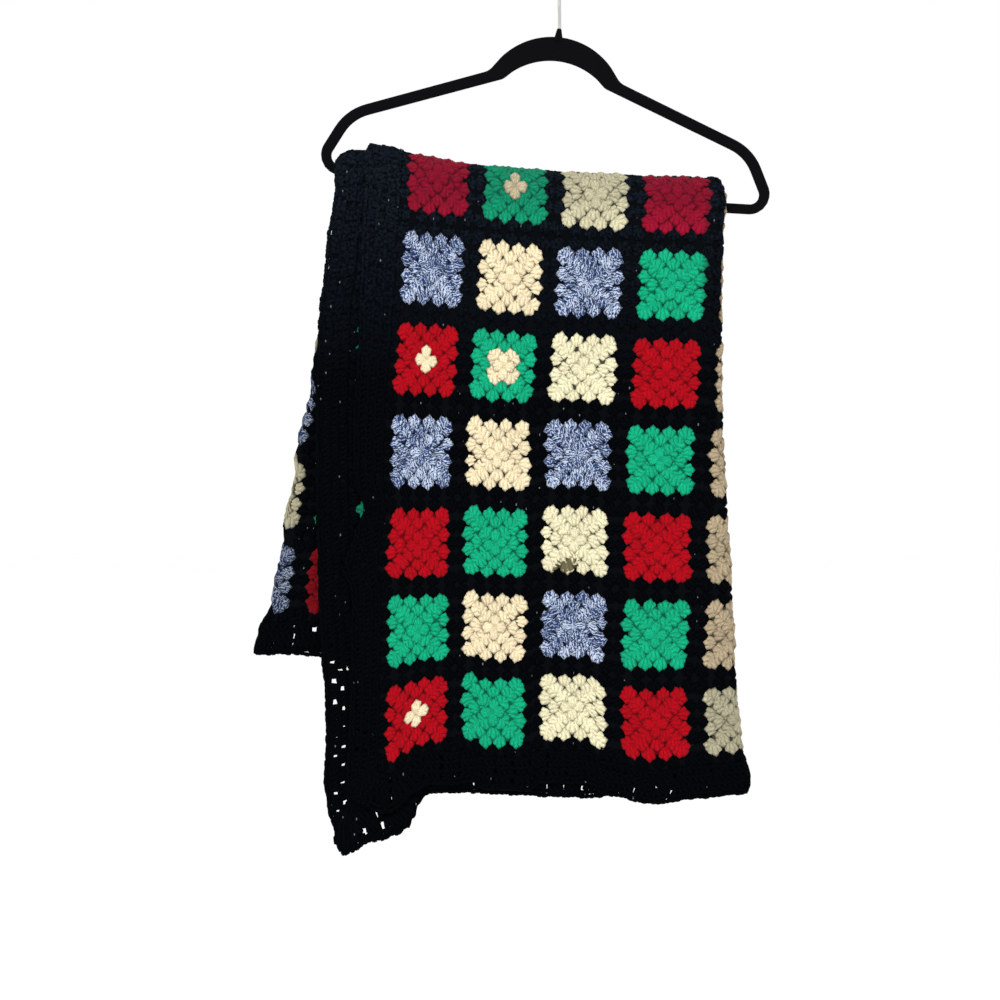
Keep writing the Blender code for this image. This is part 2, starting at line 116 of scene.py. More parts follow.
# %% Light the tent and lay the paper
LAMP_SIDE = 1.6  # m
LAMP_POWER = 42.0  # W
LAMP_AT = (-0.5, -2.3, 1.1)  # m
LAMP_AIM = (0.0, 0.0, -0.5)  # m, the middle of the blanket
PAPER_HALF = 30.0  # m
PAPER_AT = -1.45  # m

sky = bpy.data.worlds.new("white tent")
sky.use_nodes = True
sky.node_tree.nodes["Background"].inputs["Color"].default_value = (1.0, 1.0, 1.0, 1.0)
sky.node_tree.nodes["Background"].inputs["Strength"].default_value = 1.0
scene.world = sky

lamp_data = bpy.data.lights.new("soft lamp", "AREA")
lamp_data.shape = "RECTANGLE"
lamp_data.size = LAMP_SIDE
lamp_data.size_y = LAMP_SIDE
lamp_data.energy = LAMP_POWER
lamp = bpy.data.objects.new("soft lamp", lamp_data)
lamp.location = LAMP_AT
lamp.rotation_euler = (Vector(LAMP_AIM) - lamp.location).to_track_quat("-Z", "Y").to_euler()
scene.collection.objects.link(lamp)

bm = bmesh.new()
bmesh.ops.create_grid(bm, x_segments=1, y_segments=1, size=PAPER_HALF)
bmesh.ops.translate(bm, verts=bm.verts, vec=(0.0, 0.0, PAPER_AT))
floor_mesh = bpy.data.meshes.new("floor")
bm.to_mesh(floor_mesh)
bm.free()
floor = bpy.data.objects.new("floor", floor_mesh)
scene.collection.objects.link(floor)
paper = bpy.data.materials.new("white paper")
paper.use_nodes = True
paper_shader = paper.node_tree.nodes["Principled BSDF"]
paper_shader.inputs["Base Color"].default_value = hex_colour("#ffffff")
paper_shader.inputs["Roughness"].default_value = 0.9
floor.data.materials.append(paper)
print("lamp of", LAMP_POWER, "W, and paper at", PAPER_AT, "m")

# %% [markdown]
# ## How the cloth hangs
#
# The cloth is one sheet, 1506 mm by 1026 mm. Across its width it is folded three times, seen here
# from above with the front at the bottom:
#
#     bar
#     D  .-------------------.        D lies on the bar
#     C  '----------------.  |        F1, the left fold, joins C and D
#     B  -----------------'  |        F3, the inner right fold, joins B and C
#     A   -------------------'        F2, the outer right fold, joins A and D
#
# Along its length, the four layers go up the front, over the bar and down the back. A cloth
# simulation of four layers in touch is slow and never lands where it should, so one function
# gives the place in space of any point of the flat cloth. Everything worked in yarn goes through
# it, so the stitches follow each fold by themselves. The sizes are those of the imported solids.

# %% Sizes of the cloth
# All in mm. Heights are from the top of the hook's inside, where the hanger hangs.
SQUARE = 80.0  # one square with its black round
COLUMNS = 18
ROWS = 12
BORDER = 33.0
CLOTH = 3.6  # its thickness
WIDTH = COLUMNS * SQUARE + 2 * BORDER
LENGTH = ROWS * SQUARE + 2 * BORDER

TILT = math.radians(5.5)  # the hanger hangs lower at its right
BAR_MIDDLE = (-16.3, -216.4)  # X and height
BAR_TOP = 8.3  # the top of the bar's ends above its middle line
BAR_SAG = 4.0  # the bar's middle has bent down by this
BAR_HALF = 205.0  # half the length that has bent
ARC_DROP = 6.0  # the curve over the bar starts this far below the bar's top
ARC_REACH = 6.4  # and this far before it, in the lowest layer
BAR_GAP = 0.5  # between the bar and the lowest layer
PITCH_AT_BAR = 5.1  # from layer to layer
PITCH_AT_HEM = 7.0
FALL = 600.0  # from the bar to where the layers are that far apart
BACK_STRETCH = 1.027  # how much its own weight draws the back out
CORNER_REACH = 190.0  # how far up from the hem a corner's sag is felt
SAG_POWER = 1.5
BULGE_REACH = 30.0  # how far across a bulge of the edge is felt
HEM_HEIGHT = -810.0  # about where the front hem hangs
BAR_HEIGHT = -205.0  # about where the cloth starts to go over the bar
UNEVEN = 0.08  # squares near the front's free edge are narrower by this share
print("flat cloth", WIDTH, "by", LENGTH, "mm")

# %% [markdown]
# Nothing hangs straight. The three folds wander across the cloth as they go down, and the free
# edges and the outsides of the folds lean to one side or the other. Each is a short table, with a
# row for a place along the cloth or for a height. What lies between two rows is read smoothly.

# %% Where the folds and the edges run
# Distances across the cloth, from A's free edge to each fold.
FOLD_LINES = (
    # along,  F2,    F1,    F3
    (0.0, 405.0, 730.0, 1096.0),
    (100.0, 400.0, 730.0, 1096.0),
    (200.0, 392.0, 731.0, 1095.0),
    (300.0, 385.0, 731.0, 1094.0),
    (400.0, 377.0, 732.0, 1093.0),
    (500.0, 372.0, 733.0, 1094.0),
    (565.0, 371.0, 735.0, 1098.0),
    (620.0, 372.0, 746.0, 1115.0),
    (700.0, 373.0, 760.0, 1150.0),
    (800.0, 375.0, 770.0, 1172.0),
    (900.0, 378.0, 775.0, 1180.0),
    (1026.0, 384.0, 782.0, 1190.0),
)
# X of A's free edge, B's free edge and the outsides of the left and right folds.
FRONT_EDGES = (
    # height, A edge, B edge,  F1,     F2
    (-869.0, -213.0, -217.4, -200.0, 180.0),
    (-851.0, -212.0, -221.4, -200.0, 180.0),
    (-816.0, -211.0, -229.2, -200.0, 182.0),
    (-796.0, -210.0, -232.2, -200.0, 187.0),
    (-755.0, -207.5, -230.2, -202.0, 178.0),
    (-710.0, -206.2, -231.0, -203.0, 173.5),
    (-680.0, -205.5, -234.0, -204.0, 171.2),
    (-600.0, -204.2, -238.0, -205.0, 168.5),
    (-520.0, -203.7, -239.5, -205.0, 163.3),
    (-440.0, -203.2, -240.0, -205.0, 159.4),
    (-350.0, -197.8, -238.0, -207.0, 159.5),
    (-275.0, -195.4, -230.0, -210.0, 160.3),
    (-215.0, -192.5, -222.0, -212.0, 164.5),
)
BACK_EDGES = (
    # height, A edge, B edge,  F1,     F2
    (-675.0, -262.0, -188.0, -306.0, 105.0),
    (-651.0, -257.0, -184.0, -300.0, 112.0),
    (-623.0, -250.0, -180.0, -287.0, 121.0),
    (-551.0, -234.0, -172.0, -275.0, 137.0),
    (-479.0, -220.0, -170.0, -263.0, 150.0),
    (-401.0, -208.0, -178.0, -248.0, 158.0),
    (-325.0, -201.0, -193.0, -237.0, 160.0),
    (-262.0, -196.0, -207.0, -223.0, 162.0),
    (-215.0, -193.0, -218.0, -214.0, 163.0),
)
# How far the same four edges draw in over the bar, inside the hanger's window.
TOP_TUCK = (3.5, 14.0, 3.0, -2.0)
print("the front layer is", FRONT_EDGES[0][4] - FRONT_EDGES[0][1], "mm wide at its lowest point")

# %% [markdown]
# The hems are uneven too. One table holds the height of the front hem all the way across the
# cloth, and how much of the cloth's length hangs in front there. A corner that hangs free is drawn
# down into a point by its own weight.

# %% Where the hems hang
FRONT_HEM = (
    # across, height, hung length
    (0.0, -806.0, 550.0),
    (110.0, -802.0, 550.0),
    (132.0, -798.0, 550.0),
    (142.0, -804.0, 550.0),
    (188.0, -804.0, 550.0),
    (200.0, -797.0, 550.0),
    (245.0, -798.0, 550.0),
    (266.0, -810.0, 550.0),
    (310.0, -819.0, 550.0),
    (354.0, -813.0, 550.0),
    (390.0, -809.0, 549.0),
    (420.0, -800.0, 547.0),
    (445.0, -792.0, 546.0),
    (560.0, -786.0, 545.0),
    (650.0, -784.0, 543.0),
    (735.0, -786.0, 541.0),
    (784.0, -788.0, 536.0),
    (830.0, -797.0, 575.0),
    (1000.0, -795.0, 572.0),
    (1096.0, -795.0, 566.0),
    (1199.0, -800.0, 560.0),
    (1239.0, -813.0, 559.0),
    (1360.0, -808.0, 557.0),
    (1506.0, -808.0, 556.0),
)
# The free corners of A and B sag below their hems.
CORNER_SAG = (
    # across, sag
    (0.0, 12.0),
    (44.0, 27.0),
    (90.0, 0.0),
    (1403.0, 0.0),
    (1408.0, 2.0),
    (1415.0, 11.0),
    (1421.0, 23.0),
    (1432.0, 35.0),
    (1443.0, 41.0),
    (1463.0, 47.0),
    (1506.0, 61.0),
)
print("B's free corner sags", CORNER_SAG[-1][1], "mm below its hem")

# %% [markdown]
# Last come the small things that make it look like cloth. The packet is bunched on the bar, an
# edge bulges, soft creases run up from the hem, and wool that has hung for a while has stretched
# more in one square than in the next.

# %% Bunches, bulges, creases and stretched squares
# From layer to layer above the bar's top.
CROWN_PITCH = (
    # X, pitch
    (-219.0, 6.5),
    (-196.0, 6.7),
    (-186.0, 7.1),
    (-168.0, 7.1),
    (-148.0, 5.5),
    (-87.0, 4.4),
    (0.0, 4.9),
    (67.0, 5.7),
    (139.0, 6.7),
    (160.0, 7.3),
)
EDGE_BULGES = (
    # height, half height, how far to the right
    (-528.0, 17.0, 12.0),
    (-586.0, 17.0, -9.0),
)
CREASE_MOST = 1.1  # below the hem's usual height a crease grows this little more
CREASES = (
    # X, width, starts at height, depth at the hem
    (-98.0, 15.0, -640.0, 6.0),
    (-40.0, 26.0, -520.0, -3.0),
    (30.0, 22.0, -600.0, 3.5),
    (100.0, 34.0, -480.0, -4.0),
    (165.0, 20.0, -560.0, 3.0),
)
# How far the squares of the front layer have moved, where the hanging wool has stretched unevenly.
STRETCHED = (
    # along,  X at columns 1 and 4,  height at columns 1 to 5
    (33.0, 0.0, 1.0, 5.0, 0.0, 0.0, 2.0, 0.0),
    (73.0, 0.0, 2.0, 1.5, 1.0, 0.0, 4.0, -3.0),
    (153.0, 0.0, 2.0, -7.5, -3.0, -5.0, 4.5, -4.0),
    (233.0, -1.0, 2.5, -12.0, -7.5, -5.0, 3.0, -4.0),
    (313.0, 1.5, 5.0, -9.0, -6.5, -5.5, 2.5, -4.0),
    (393.0, 2.5, 6.3, -5.0, -6.5, -5.0, 1.0, -4.0),
    (473.0, 5.0, 7.5, -4.0, -6.0, -4.5, 2.0, -2.0),
    (553.0, 7.0, 8.0, -2.0, -1.5, -2.0, 0.5, 0.0),
    (600.0, 6.0, 7.0, 0.0, 0.0, 0.0, 0.0, 0.0),
    (660.0, 0.0, 0.0, 0.0, 0.0, 0.0, 0.0, 0.0),
)
COLUMN_MIDDLES = (73.0, 153.0, 233.0, 313.0, 393.0)
STRETCH_ENDS = 600.0  # across the cloth, well behind the front layer
print("squares have moved sideways by up to", max(row[2] for row in STRETCHED), "mm")

# %% [markdown]
# The drape works on whole arrays of points at once, because there are several hundred thousand
# of them. It is the same drape as the solid's, written with numpy instead of a loop. First come
# the readers of the tables, and the bar that the cloth hangs from.

# %% Read the tables
def mix(a, b, share):
    return a + (b - a) * share


def read(table, column, at):
    """A column of a table, read smoothly at many values of its first column."""
    rows = np.array(table)
    low = np.clip(np.searchsorted(rows[:, 0], at) - 1, 0, len(rows) - 2)
    share = np.clip((at - rows[low, 0]) / (rows[low + 1, 0] - rows[low, 0]), 0.0, 1.0)
    return mix(rows[low, column], rows[low + 1, column], share * share * (3 - 2 * share))


def bar_top(x):
    along = x - BAR_MIDDLE[0]
    sag = BAR_SAG * np.maximum(1 - (along / BAR_HALF) ** 2, 0.0)
    return BAR_MIDDLE[1] + (BAR_TOP - sag) / math.cos(TILT) - math.tan(TILT) * along


def pitch(drop):
    return mix(PITCH_AT_BAR, PITCH_AT_HEM, np.clip(drop / FALL, 0.0, 1.0))


def edges_in(table, height):
    return [read(table, column, height) for column in range(1, 5)]


def edges_over(share):
    """The four edges between the front and the back of the curve over the bar."""
    front = edges_in(FRONT_EDGES, np.full_like(share, BAR_HEIGHT))
    back = edges_in(BACK_EDGES, np.full_like(share, BAR_HEIGHT))
    tuck = np.sin(math.pi * share) ** 3
    return [mix(f, b, share) + tuck * most for f, b, most in zip(front, back, TOP_TUCK)]


print("the bar's top is at", round(float(bar_top(BAR_MIDDLE[0])), 1), "mm in its middle")

# %% [markdown]
# Stretched wool moves each point a little within the front layer. Between the columns of the
# table the move is blended, so that no square is torn from the next.

# %% Stretch the front layer
def moved_across(u, v):
    """How far the wool has moved to the right, none of it at the free edge."""
    share = (u - COLUMN_MIDDLES[0]) / (COLUMN_MIDDLES[3] - COLUMN_MIDDLES[0])
    most = mix(read(STRETCHED, 1, v), read(STRETCHED, 2, v), np.clip(share, 0.0, 1.0))
    fade = (STRETCH_ENDS - u) / (STRETCH_ENDS - COLUMN_MIDDLES[4])
    return most * np.clip(u / BORDER, 0.0, 1.0) * np.clip(fade, 0.0, 1.0)


def moved_up(u, v):
    """How far the wool has moved up."""
    stops = (0.0, *COLUMN_MIDDLES, STRETCH_ENDS)
    in_table = (3, 3, 4, 5, 6, 7)  # the free edge moves as column 1 does
    columns = [read(STRETCHED, column, v) for column in in_table] + [np.zeros_like(u)]
    found = np.zeros_like(u)
    for low, high, first, last in zip(stops, stops[1:], columns, columns[1:]):
        found = np.where((u >= low) & (u < high), mix(first, last, (u - low) / (high - low)), found)
    return found


some_rows = np.array([73.0, 313.0, 553.0])
third_column = np.full(3, COLUMN_MIDDLES[2])
print("in the third column, squares move up by", moved_up(third_column, some_rows), "mm")

# %% [markdown]
# Now the folds. How far across the cloth a point is says which layer it lies in, or which fold it
# goes round. A layer runs straight from edge to edge. A fold is a half circle: a small one where
# it joins two neighbours, and a large one where it goes round them.

# %% Fold the cloth
LAYER_D, LAYER_C, LAYER_B, LAYER_A = range(4)


def across(u, v, drop, found_edges, height):
    """X and layer of each point: 3 in A, 2 in B, 1 in C and 0 in D."""
    edge_a, edge_b, outside_f1, outside_f2 = found_edges
    u = u + moved_across(u, v)
    f2, f1, f3 = (read(FOLD_LINES, column, v) for column in (1, 2, 3))
    small = pitch(drop) / 2
    large = 3 * small
    right = outside_f2 - CLOTH / 2 - large
    left = outside_f1 + CLOTH / 2 + small
    bend_small = math.pi * small / 2
    bend_large = math.pi * large / 2
    share = u / (f2 - bend_large)
    x_a = mix(edge_a, right, share - UNEVEN * share * (1 - share))
    for middle, half, reach in EDGE_BULGES:
        x_a = x_a + reach * np.exp(-(((height - middle) / half) ** 2) - u / BULGE_REACH)
    in_d = (u - f2 - bend_large) / (f1 - bend_small - f2 - bend_large)
    in_c = (u - f1 - bend_small) / (f3 - bend_small - f1 - bend_small)
    in_b = (u - f3 - bend_small) / (WIDTH - f3 - bend_small)
    at_f2, at_f1, at_f3 = (u - f2) / large, (u - f1) / small, (u - f3) / small
    where = [u < f2 - bend_large, u < f2 + bend_large, u < f1 - bend_small]
    where += [u < f1 + bend_small, u < f3 - bend_small, u < f3 + bend_small]
    x = [x_a, right + large * np.cos(at_f2), mix(right, left, in_d)]
    x += [left - small * np.cos(at_f1), mix(left, right, in_c), right + small * np.cos(at_f3)]
    layer = [np.full_like(u, LAYER_A), 1.5 - 1.5 * np.sin(at_f2), np.full_like(u, LAYER_D)]
    layer += [0.5 + 0.5 * np.sin(at_f1), np.full_like(u, LAYER_C), 1.5 + 0.5 * np.sin(at_f3)]
    return np.select(where, x, mix(right, edge_b, in_b)), np.select(where, layer, LAYER_B)


some = np.array([100.0, 600.0, 900.0, 1300.0])
at_hem = np.full(4, HEM_HEIGHT)
met = across(some, np.zeros(4), np.full(4, FALL), edges_in(FRONT_EDGES, at_hem), at_hem)[1]
print("on the way across, the layers are met as", ["DCBA"[int(layer)] for layer in met])

# %% [markdown]
# Last, the way along the cloth: up the front, over the bar in half an ellipse, and down the back.
# Stitches stand off the cloth, so a second function lifts a point along the way that the cloth
# faces there.

# %% Hang the cloth over the bar
NEARBY = 1.5  # mm, to feel which way the cloth faces


def creases(x, height):
    depth = np.zeros_like(x)
    for middle, width, top, most in CREASES:
        share = np.clip((top - height) / (top - HEM_HEIGHT), 0.0, CREASE_MOST)
        depth = depth + most * share * np.exp(-(((x - middle) / width) ** 2))
    return depth


def ellipse(x, layer):
    rise = ARC_DROP + BAR_GAP + CLOTH / 2 + layer * read(CROWN_PITCH, 1, x)
    return ARC_REACH + layer * PITCH_AT_BAR, rise


def at_bar(u, v, share):
    return across(u, v, np.zeros_like(u), edges_over(share), np.zeros_like(u))


def place(u, v):
    """Points in space, in mm, of points of the flat cloth's middle surface."""
    hung = read(FRONT_HEM, 2, u)
    reach, rise = ellipse(*at_bar(u, v, np.full_like(u, 0.5)))
    over = math.pi * np.sqrt((reach**2 + rise**2) / 2)
    share = np.clip((v - hung) / over, 0.0, 1.0)
    x_over, layer_over = at_bar(u, v, share)
    start = bar_top(x_over) - ARC_DROP

    hem = read(FRONT_HEM, 1, u)
    stretch = (start - hem - BORDER) / (hung - BORDER)
    height = hem + np.minimum(v, BORDER) + np.maximum(v - BORDER, 0.0) * stretch
    height = height - read(CORNER_SAG, 1, u) * np.clip(1 - v / CORNER_REACH, 0.0, None) ** SAG_POWER
    height = height + moved_up(u, v)
    x, layer = across(u, v, start - height, edges_in(FRONT_EDGES, height), height)
    y = -ARC_REACH - layer * pitch(start - height) + creases(x, height)
    front = np.stack((x, y, height), axis=-1)

    reach, rise = ellipse(x_over, layer_over)
    angle = math.pi * share
    top = np.stack((x_over, -reach * np.cos(angle), start + rise * np.sin(angle)), axis=-1)

    down = v - hung - over
    left = LENGTH - BORDER - hung - over
    height = start - np.minimum(down, left) * BACK_STRETCH - np.maximum(down - left, 0.0)
    x, layer = across(u, v, start - height, edges_in(BACK_EDGES, height), height)
    back = np.stack((x, ARC_REACH + layer * pitch(start - height), height), axis=-1)
    side = np.where(v < hung, 0, np.where(v < hung + over, 1, 2))[..., None]
    return np.where(side == 0, front, np.where(side == 1, top, back))


def on_cloth(u, v, lift):
    """Places, in mm, of points that stand lift above the middle of the cloth."""
    right, left = place(u + NEARBY, v), place(u - NEARBY, v)
    up, down = place(u, v + NEARBY), place(u, v - NEARBY)
    normal = np.cross(right - left, up - down)
    normal /= np.maximum(np.linalg.norm(normal, axis=-1, keepdims=True), 1e-9)
    return place(u, v) + normal * lift[..., None]


corner = on_cloth(np.array([0.0]), np.array([0.0]), np.array([0.0]))
print("front hem's left corner at", corner.round(1))

# %% [markdown]
# ## A cluster of three double crochets
#
# A double crochet is a post of yarn with a loop at its head. Three of them worked into one space
# fan out from it, so the cluster is narrow at its foot and broad and round at its head, and it
# stands proud in its middle. A bevelled curve would give such a post too, with many more faces.
# Here it is a cone, with rings extruded from its top and a point. Each point of it also keeps its
# place on its own post, so that the material can twist the yarn's plies about it.

# %% Shape one post
POST_RINGS = (
    # share of the post's length, radius in mm, depth through the cloth in mm
    (0.0, 2.3, 1.7),
    (0.38, 3.3, 2.2),
    (0.82, 3.5, 2.1),
)
POST_TIP = 1.05  # where its point is, in the same shares


def add_post(bm, layer, post, sides, rings):
    """One post, from its foot to its rounded head."""
    foot, head = Vector(post[0]), Vector(post[1])
    way = head - foot
    before = set(bm.verts)
    (_, foot_radius, foot_depth), (first, first_radius, first_depth) = rings[:2]
    made = bmesh.ops.create_cone(
        bm,
        cap_ends=True,
        segments=sides,
        radius1=foot_radius,
        radius2=first_radius,
        depth=first * way.length,
        matrix=Matrix.Translation((0.0, 0.0, first * way.length / 2)),
    )
    for vert in made["verts"]:
        low = vert.co.z < first * way.length / 2
        vert.co.y *= foot_depth / foot_radius if low else first_depth / first_radius
    faces = {face for vert in made["verts"] for face in vert.link_faces}
    top = max(faces, key=lambda face: face.calc_center_median().z)
    for last, ring in zip(rings[1:], rings[2:]):
        top = bmesh.ops.extrude_discrete_faces(bm, faces=[top])["faces"][0]
        bmesh.ops.translate(bm, verts=top.verts, vec=(0, 0, (ring[0] - last[0]) * way.length))
        bmesh.ops.scale(bm, verts=top.verts, vec=(ring[1] / last[1], ring[2] / last[2], 1.0))
    tip = bmesh.ops.poke(bm, faces=[top])["verts"][0]
    tip.co.z = POST_TIP * way.length
    side = way.cross(Vector((0.0, 0.0, 1.0))).normalized()
    turn = Matrix((side, way.normalized().cross(side), way.normalized())).transposed()
    for vert in set(bm.verts) - before:
        vert[layer] = vert.co
        vert.co = foot + turn @ vert.co


print("a post is", 2 * max(radius for _, radius, _ in POST_RINGS), "mm wide")

# %% [markdown]
# The clusters of a square's first round are narrower than the others, like petals. Those of the
# joining round have a side less on each post, because black yarn shows little of its shape.

# %% Build the clusters
POSTS = (
    # foot across, along and forwards in mm, then the same of its head
    ((-2.4, 0.2, -1.1), (-4.4, 10.7, -0.3)),
    ((0.0, 0.0, -0.9), (0.0, 12.7, 1.0)),
    ((2.4, 0.2, -1.1), (4.4, 10.7, -0.3)),
)
FIRST_RINGS = ((0.0, 2.2, 1.5), (0.45, 3.0, 2.1), (0.86, 3.3, 2.1))
FIRST_POSTS = (
    ((-1.2, -0.6, 0.0), (-2.9, 11.2, 1.2)),
    ((0.0, -0.8, 0.2), (0.0, 12.6, 1.9)),
    ((1.2, -0.6, 0.0), (2.9, 11.2, 1.2)),
)


def build_cluster(posts, sides, rings=POST_RINGS):
    """Points, triangles and places on the yarn of one cluster, as arrays."""
    bm = bmesh.new()
    layer = bm.verts.layers.float_vector.new("on post")
    for post in posts:
        add_post(bm, layer, post, sides, rings)
    bmesh.ops.recalc_face_normals(bm, faces=bm.faces)
    bmesh.ops.triangulate(bm, faces=bm.faces)
    bm.verts.ensure_lookup_table()
    points = np.array([vert.co for vert in bm.verts])
    on_post = np.array([vert[layer] for vert in bm.verts])
    faces = np.array([[vert.index for vert in face.verts] for face in bm.faces])
    bm.free()
    return points, faces, on_post


FIRST_CLUSTER = build_cluster(FIRST_POSTS, 6, FIRST_RINGS)
FULL_CLUSTER = build_cluster(POSTS, 6)
PLAIN_CLUSTER = build_cluster(POSTS, 5)
print("triangles in a cluster:", len(FULL_CLUSTER[1]), "and", len(PLAIN_CLUSTER[1]))

# %% [markdown]
# ## Where the clusters go in a square
#
# The first round has one cluster on each side. Each later round has one more, worked into the
# spaces of the round before, so that the clusters lie like bricks. Those at a corner share one
# space and spread a little. The fifth round is black and joins the square to the next ones.

# %% Lay out the rounds of a square
ROUND = 7.75  # mm from one round to the next
COLOUR_ROUNDS = 4
BESIDE = 15.0  # mm from one cluster to the next
WRAP = 3.0  # mm that a cluster's foot reaches back over the heads of the round before
CORNER_OUT = 0.9  # mm; the two clusters at a corner stand a little further out
CORNER_LEAN = math.radians(-13)  # and lean back to the middle of their sides
JOIN_LEAN = math.radians(14)  # those of the black round lean into the corner, and close it
SIDE_LIFT = 0.3  # mm; clusters up and down the cloth lie a little over those across it
WIDER, SHORTER = 1.03, 0.985  # the hanging squares are a little broader than they are long


def round_places(number):
    """Across, along, turn, length, width and lift of each cluster in one round of a square."""
    found = []
    foot = max((number - 1) * ROUND - WRAP, 0.0)
    most_lean = CORNER_LEAN if number <= COLOUR_ROUNDS else JOIN_LEAN
    for side in range(4):
        turn = side * math.pi / 2
        lift = 0.0 if number == 1 else (-SIDE_LIFT if side % 2 else SIDE_LIFT)
        for spot in range(number):
            along, lean = (spot - (number - 1) / 2) * BESIDE, 0.0
            if number > 1 and spot in (0, number - 1):
                outwards = -1.0 if spot == 0 else 1.0
                along += outwards * CORNER_OUT
                lean = outwards * most_lean
            x = (along * math.cos(turn) + foot * math.sin(turn)) * WIDER
            y = (foot * math.cos(turn) - along * math.sin(turn)) * SHORTER
            found.append((x, y, turn + lean, 1.0, 1.0, lift))
    return np.array(found)


print([len(round_places(number)) for number in range(1, 6)], "clusters in the rounds of a square")

# %% [markdown]
# ## Which yarn goes where
#
# Two rows of squares take turns up the cloth, and a few squares break the rule or have a cream
# middle, as happens when a blanket is made from what is in the wool basket.

# %% Chart of the yarns
YARNS = {
    "R": "red",
    "K": "crimson",
    "G": "green",
    "C": "cream",
    "I": "ivory",
    "T": "beige",
    "B": "blue_marl",
}
EVEN_ROWS = "RGIRTBGCGIRGTBIRTG"
ODD_ROWS = "BCBGTRCGRBGTIRGBCR"
OTHER_SQUARES = {(0, 1): "G", (4, 0): "I", (0, 6): "K", (3, 6): "K"}
CREAM_MIDDLES = {(0, 4): 1, (0, 0): 1, (1, 6): 1, (1, 4): 2}  # rounds of cream


def yarn_of(column, row):
    usual = (ODD_ROWS if row % 2 else EVEN_ROWS)[column]
    return OTHER_SQUARES.get((column, row), usual)


def shows(column, row):
    """Whether a square can be seen from any side, and so needs its stitches."""
    in_front_layer = column < 5
    at_left_fold = column in (8, 9)
    behind_at_hem = 5 <= column < 8 and row < 3
    at_free_edge = column == COLUMNS - 1 and row < 7
    return in_front_layer or at_left_fold or behind_at_hem or at_free_edge


shown = [(c, r) for c in range(COLUMNS) for r in range(ROWS) if shows(c, r)]
print(len(shown), "of", COLUMNS * ROWS, "squares are worked in full")

# %% [markdown]
# ## Copying the clusters
#
# Every copy is turned a little, stretched a little and shifted a little, because no two hand-made
# stitches match. Then all its points go through the drape.

# %% Copy a cluster along the cloth
TURN_SPREAD = 0.07  # radians
SIZE_SPREAD = 0.035  # as a share
SHIFT_SPREAD = 0.35  # mm
LIFT_SHARE = 0.6  # of the shift, off the cloth
LAY = 6.5  # mm along the yarn for one full turn of a ply
chance = np.random.RandomState(12)


def copies(cluster, places, loose=1.0):
    """Points on the cloth, triangles, yarn places and shades of a cluster at each place."""
    points, faces, on_post = cluster
    count = len(places)
    turn = places[:, 2] + chance.normal(0.0, TURN_SPREAD, count)
    size = chance.normal(1.0, SIZE_SPREAD * loose, (count, 2))
    shift = chance.normal(0.0, SHIFT_SPREAD, (count, 3)) * (loose, 1.0, 1.0)
    x = points[None, :, 0] * size[:, :1] * places[:, 4:5]
    y = points[None, :, 1] * size[:, 1:] * places[:, 3:4]
    cos, sin = np.cos(turn)[:, None], np.sin(turn)[:, None]
    u = places[:, :1] + x * cos + y * sin + shift[:, :1]
    v = places[:, 1:2] - x * sin + y * cos + shift[:, 1:2]
    w = points[None, :, 2] + places[:, 5:] + LIFT_SHARE * shift[:, 2:]
    on_post = np.repeat(on_post[None], count, axis=0)
    on_post[:, :, 2] += chance.uniform(0.0, LAY, (count, 1))
    shade = np.broadcast_to(chance.uniform(0.0, 1.0, (count, 1)), u.shape)
    found = on_cloth(u.ravel(), v.ravel(), w.ravel())
    triangles = faces[None] + (np.arange(count) * len(points))[:, None, None]
    return found, triangles.reshape(-1, 3), on_post.reshape(-1, 3), shade.ravel()


print("copies are turned by some", round(math.degrees(TURN_SPREAD)), "degrees either way")

# %% [markdown]
# There are some seven thousand clusters and five thousand loops of chain, and making each with
# operators would take minutes. So the copies of one yarn are put in one mesh, filled from
# arrays. Its two attributes hold what the wool's material reads: each point's place on its
# post, and a shade for each cluster.

# %% Fill a mesh from arrays
def object_of(name, points, triangles, on_post, shade):
    """An object at the origin, from arrays in mm."""
    mesh = bpy.data.meshes.new(name)
    mesh.vertices.add(len(points))
    mesh.vertices.foreach_set("co", (points * MM).astype(np.float32).ravel())
    mesh.loops.add(triangles.size)
    mesh.loops.foreach_set("vertex_index", triangles.astype(np.int32).ravel())
    mesh.polygons.add(len(triangles))
    mesh.polygons.foreach_set("loop_start", np.arange(0, triangles.size, 3, dtype=np.int32))
    mesh.update(calc_edges=True)
    mesh.shade_smooth()
    held = mesh.attributes.new("on_post", "FLOAT_VECTOR", "POINT")
    held.data.foreach_set("vector", on_post.astype(np.float32).ravel())
    held = mesh.attributes.new("shade", "FLOAT", "POINT")
    held.data.foreach_set("value", shade.astype(np.float32))
    made = bpy.data.objects.new(name, mesh)
    scene.collection.objects.link(made)
    print(name, len(triangles), "triangles")
    return made


def square_at(column, row, places):
    """The same places, moved to one square of the cloth."""
    moved = places.copy()
    moved[:, 0] += BORDER + (column + 0.5) * SQUARE
    moved[:, 1] += BORDER + (row + 0.5) * SQUARE
    return moved


print("the middle of the last square is at", square_at(COLUMNS - 1, ROWS - 1, np.zeros((1, 6)))[0, :2])

# %% [markdown]
# The yarn of a round is that of its square, or cream. The first round has clusters of its own
# shape, so the two kinds are copied apart and put together in one mesh.

# %% Work the coloured squares
def together(parts):
    """One set of arrays from several."""
    points, triangles, on_post, shade = zip(*parts)
    firsts = np.cumsum([0, *[len(some) for some in points[:-1]]])
    triangles = [some + first for some, first in zip(triangles, firsts)]
    return [np.concatenate(found) for found in (points, triangles, on_post, shade)]


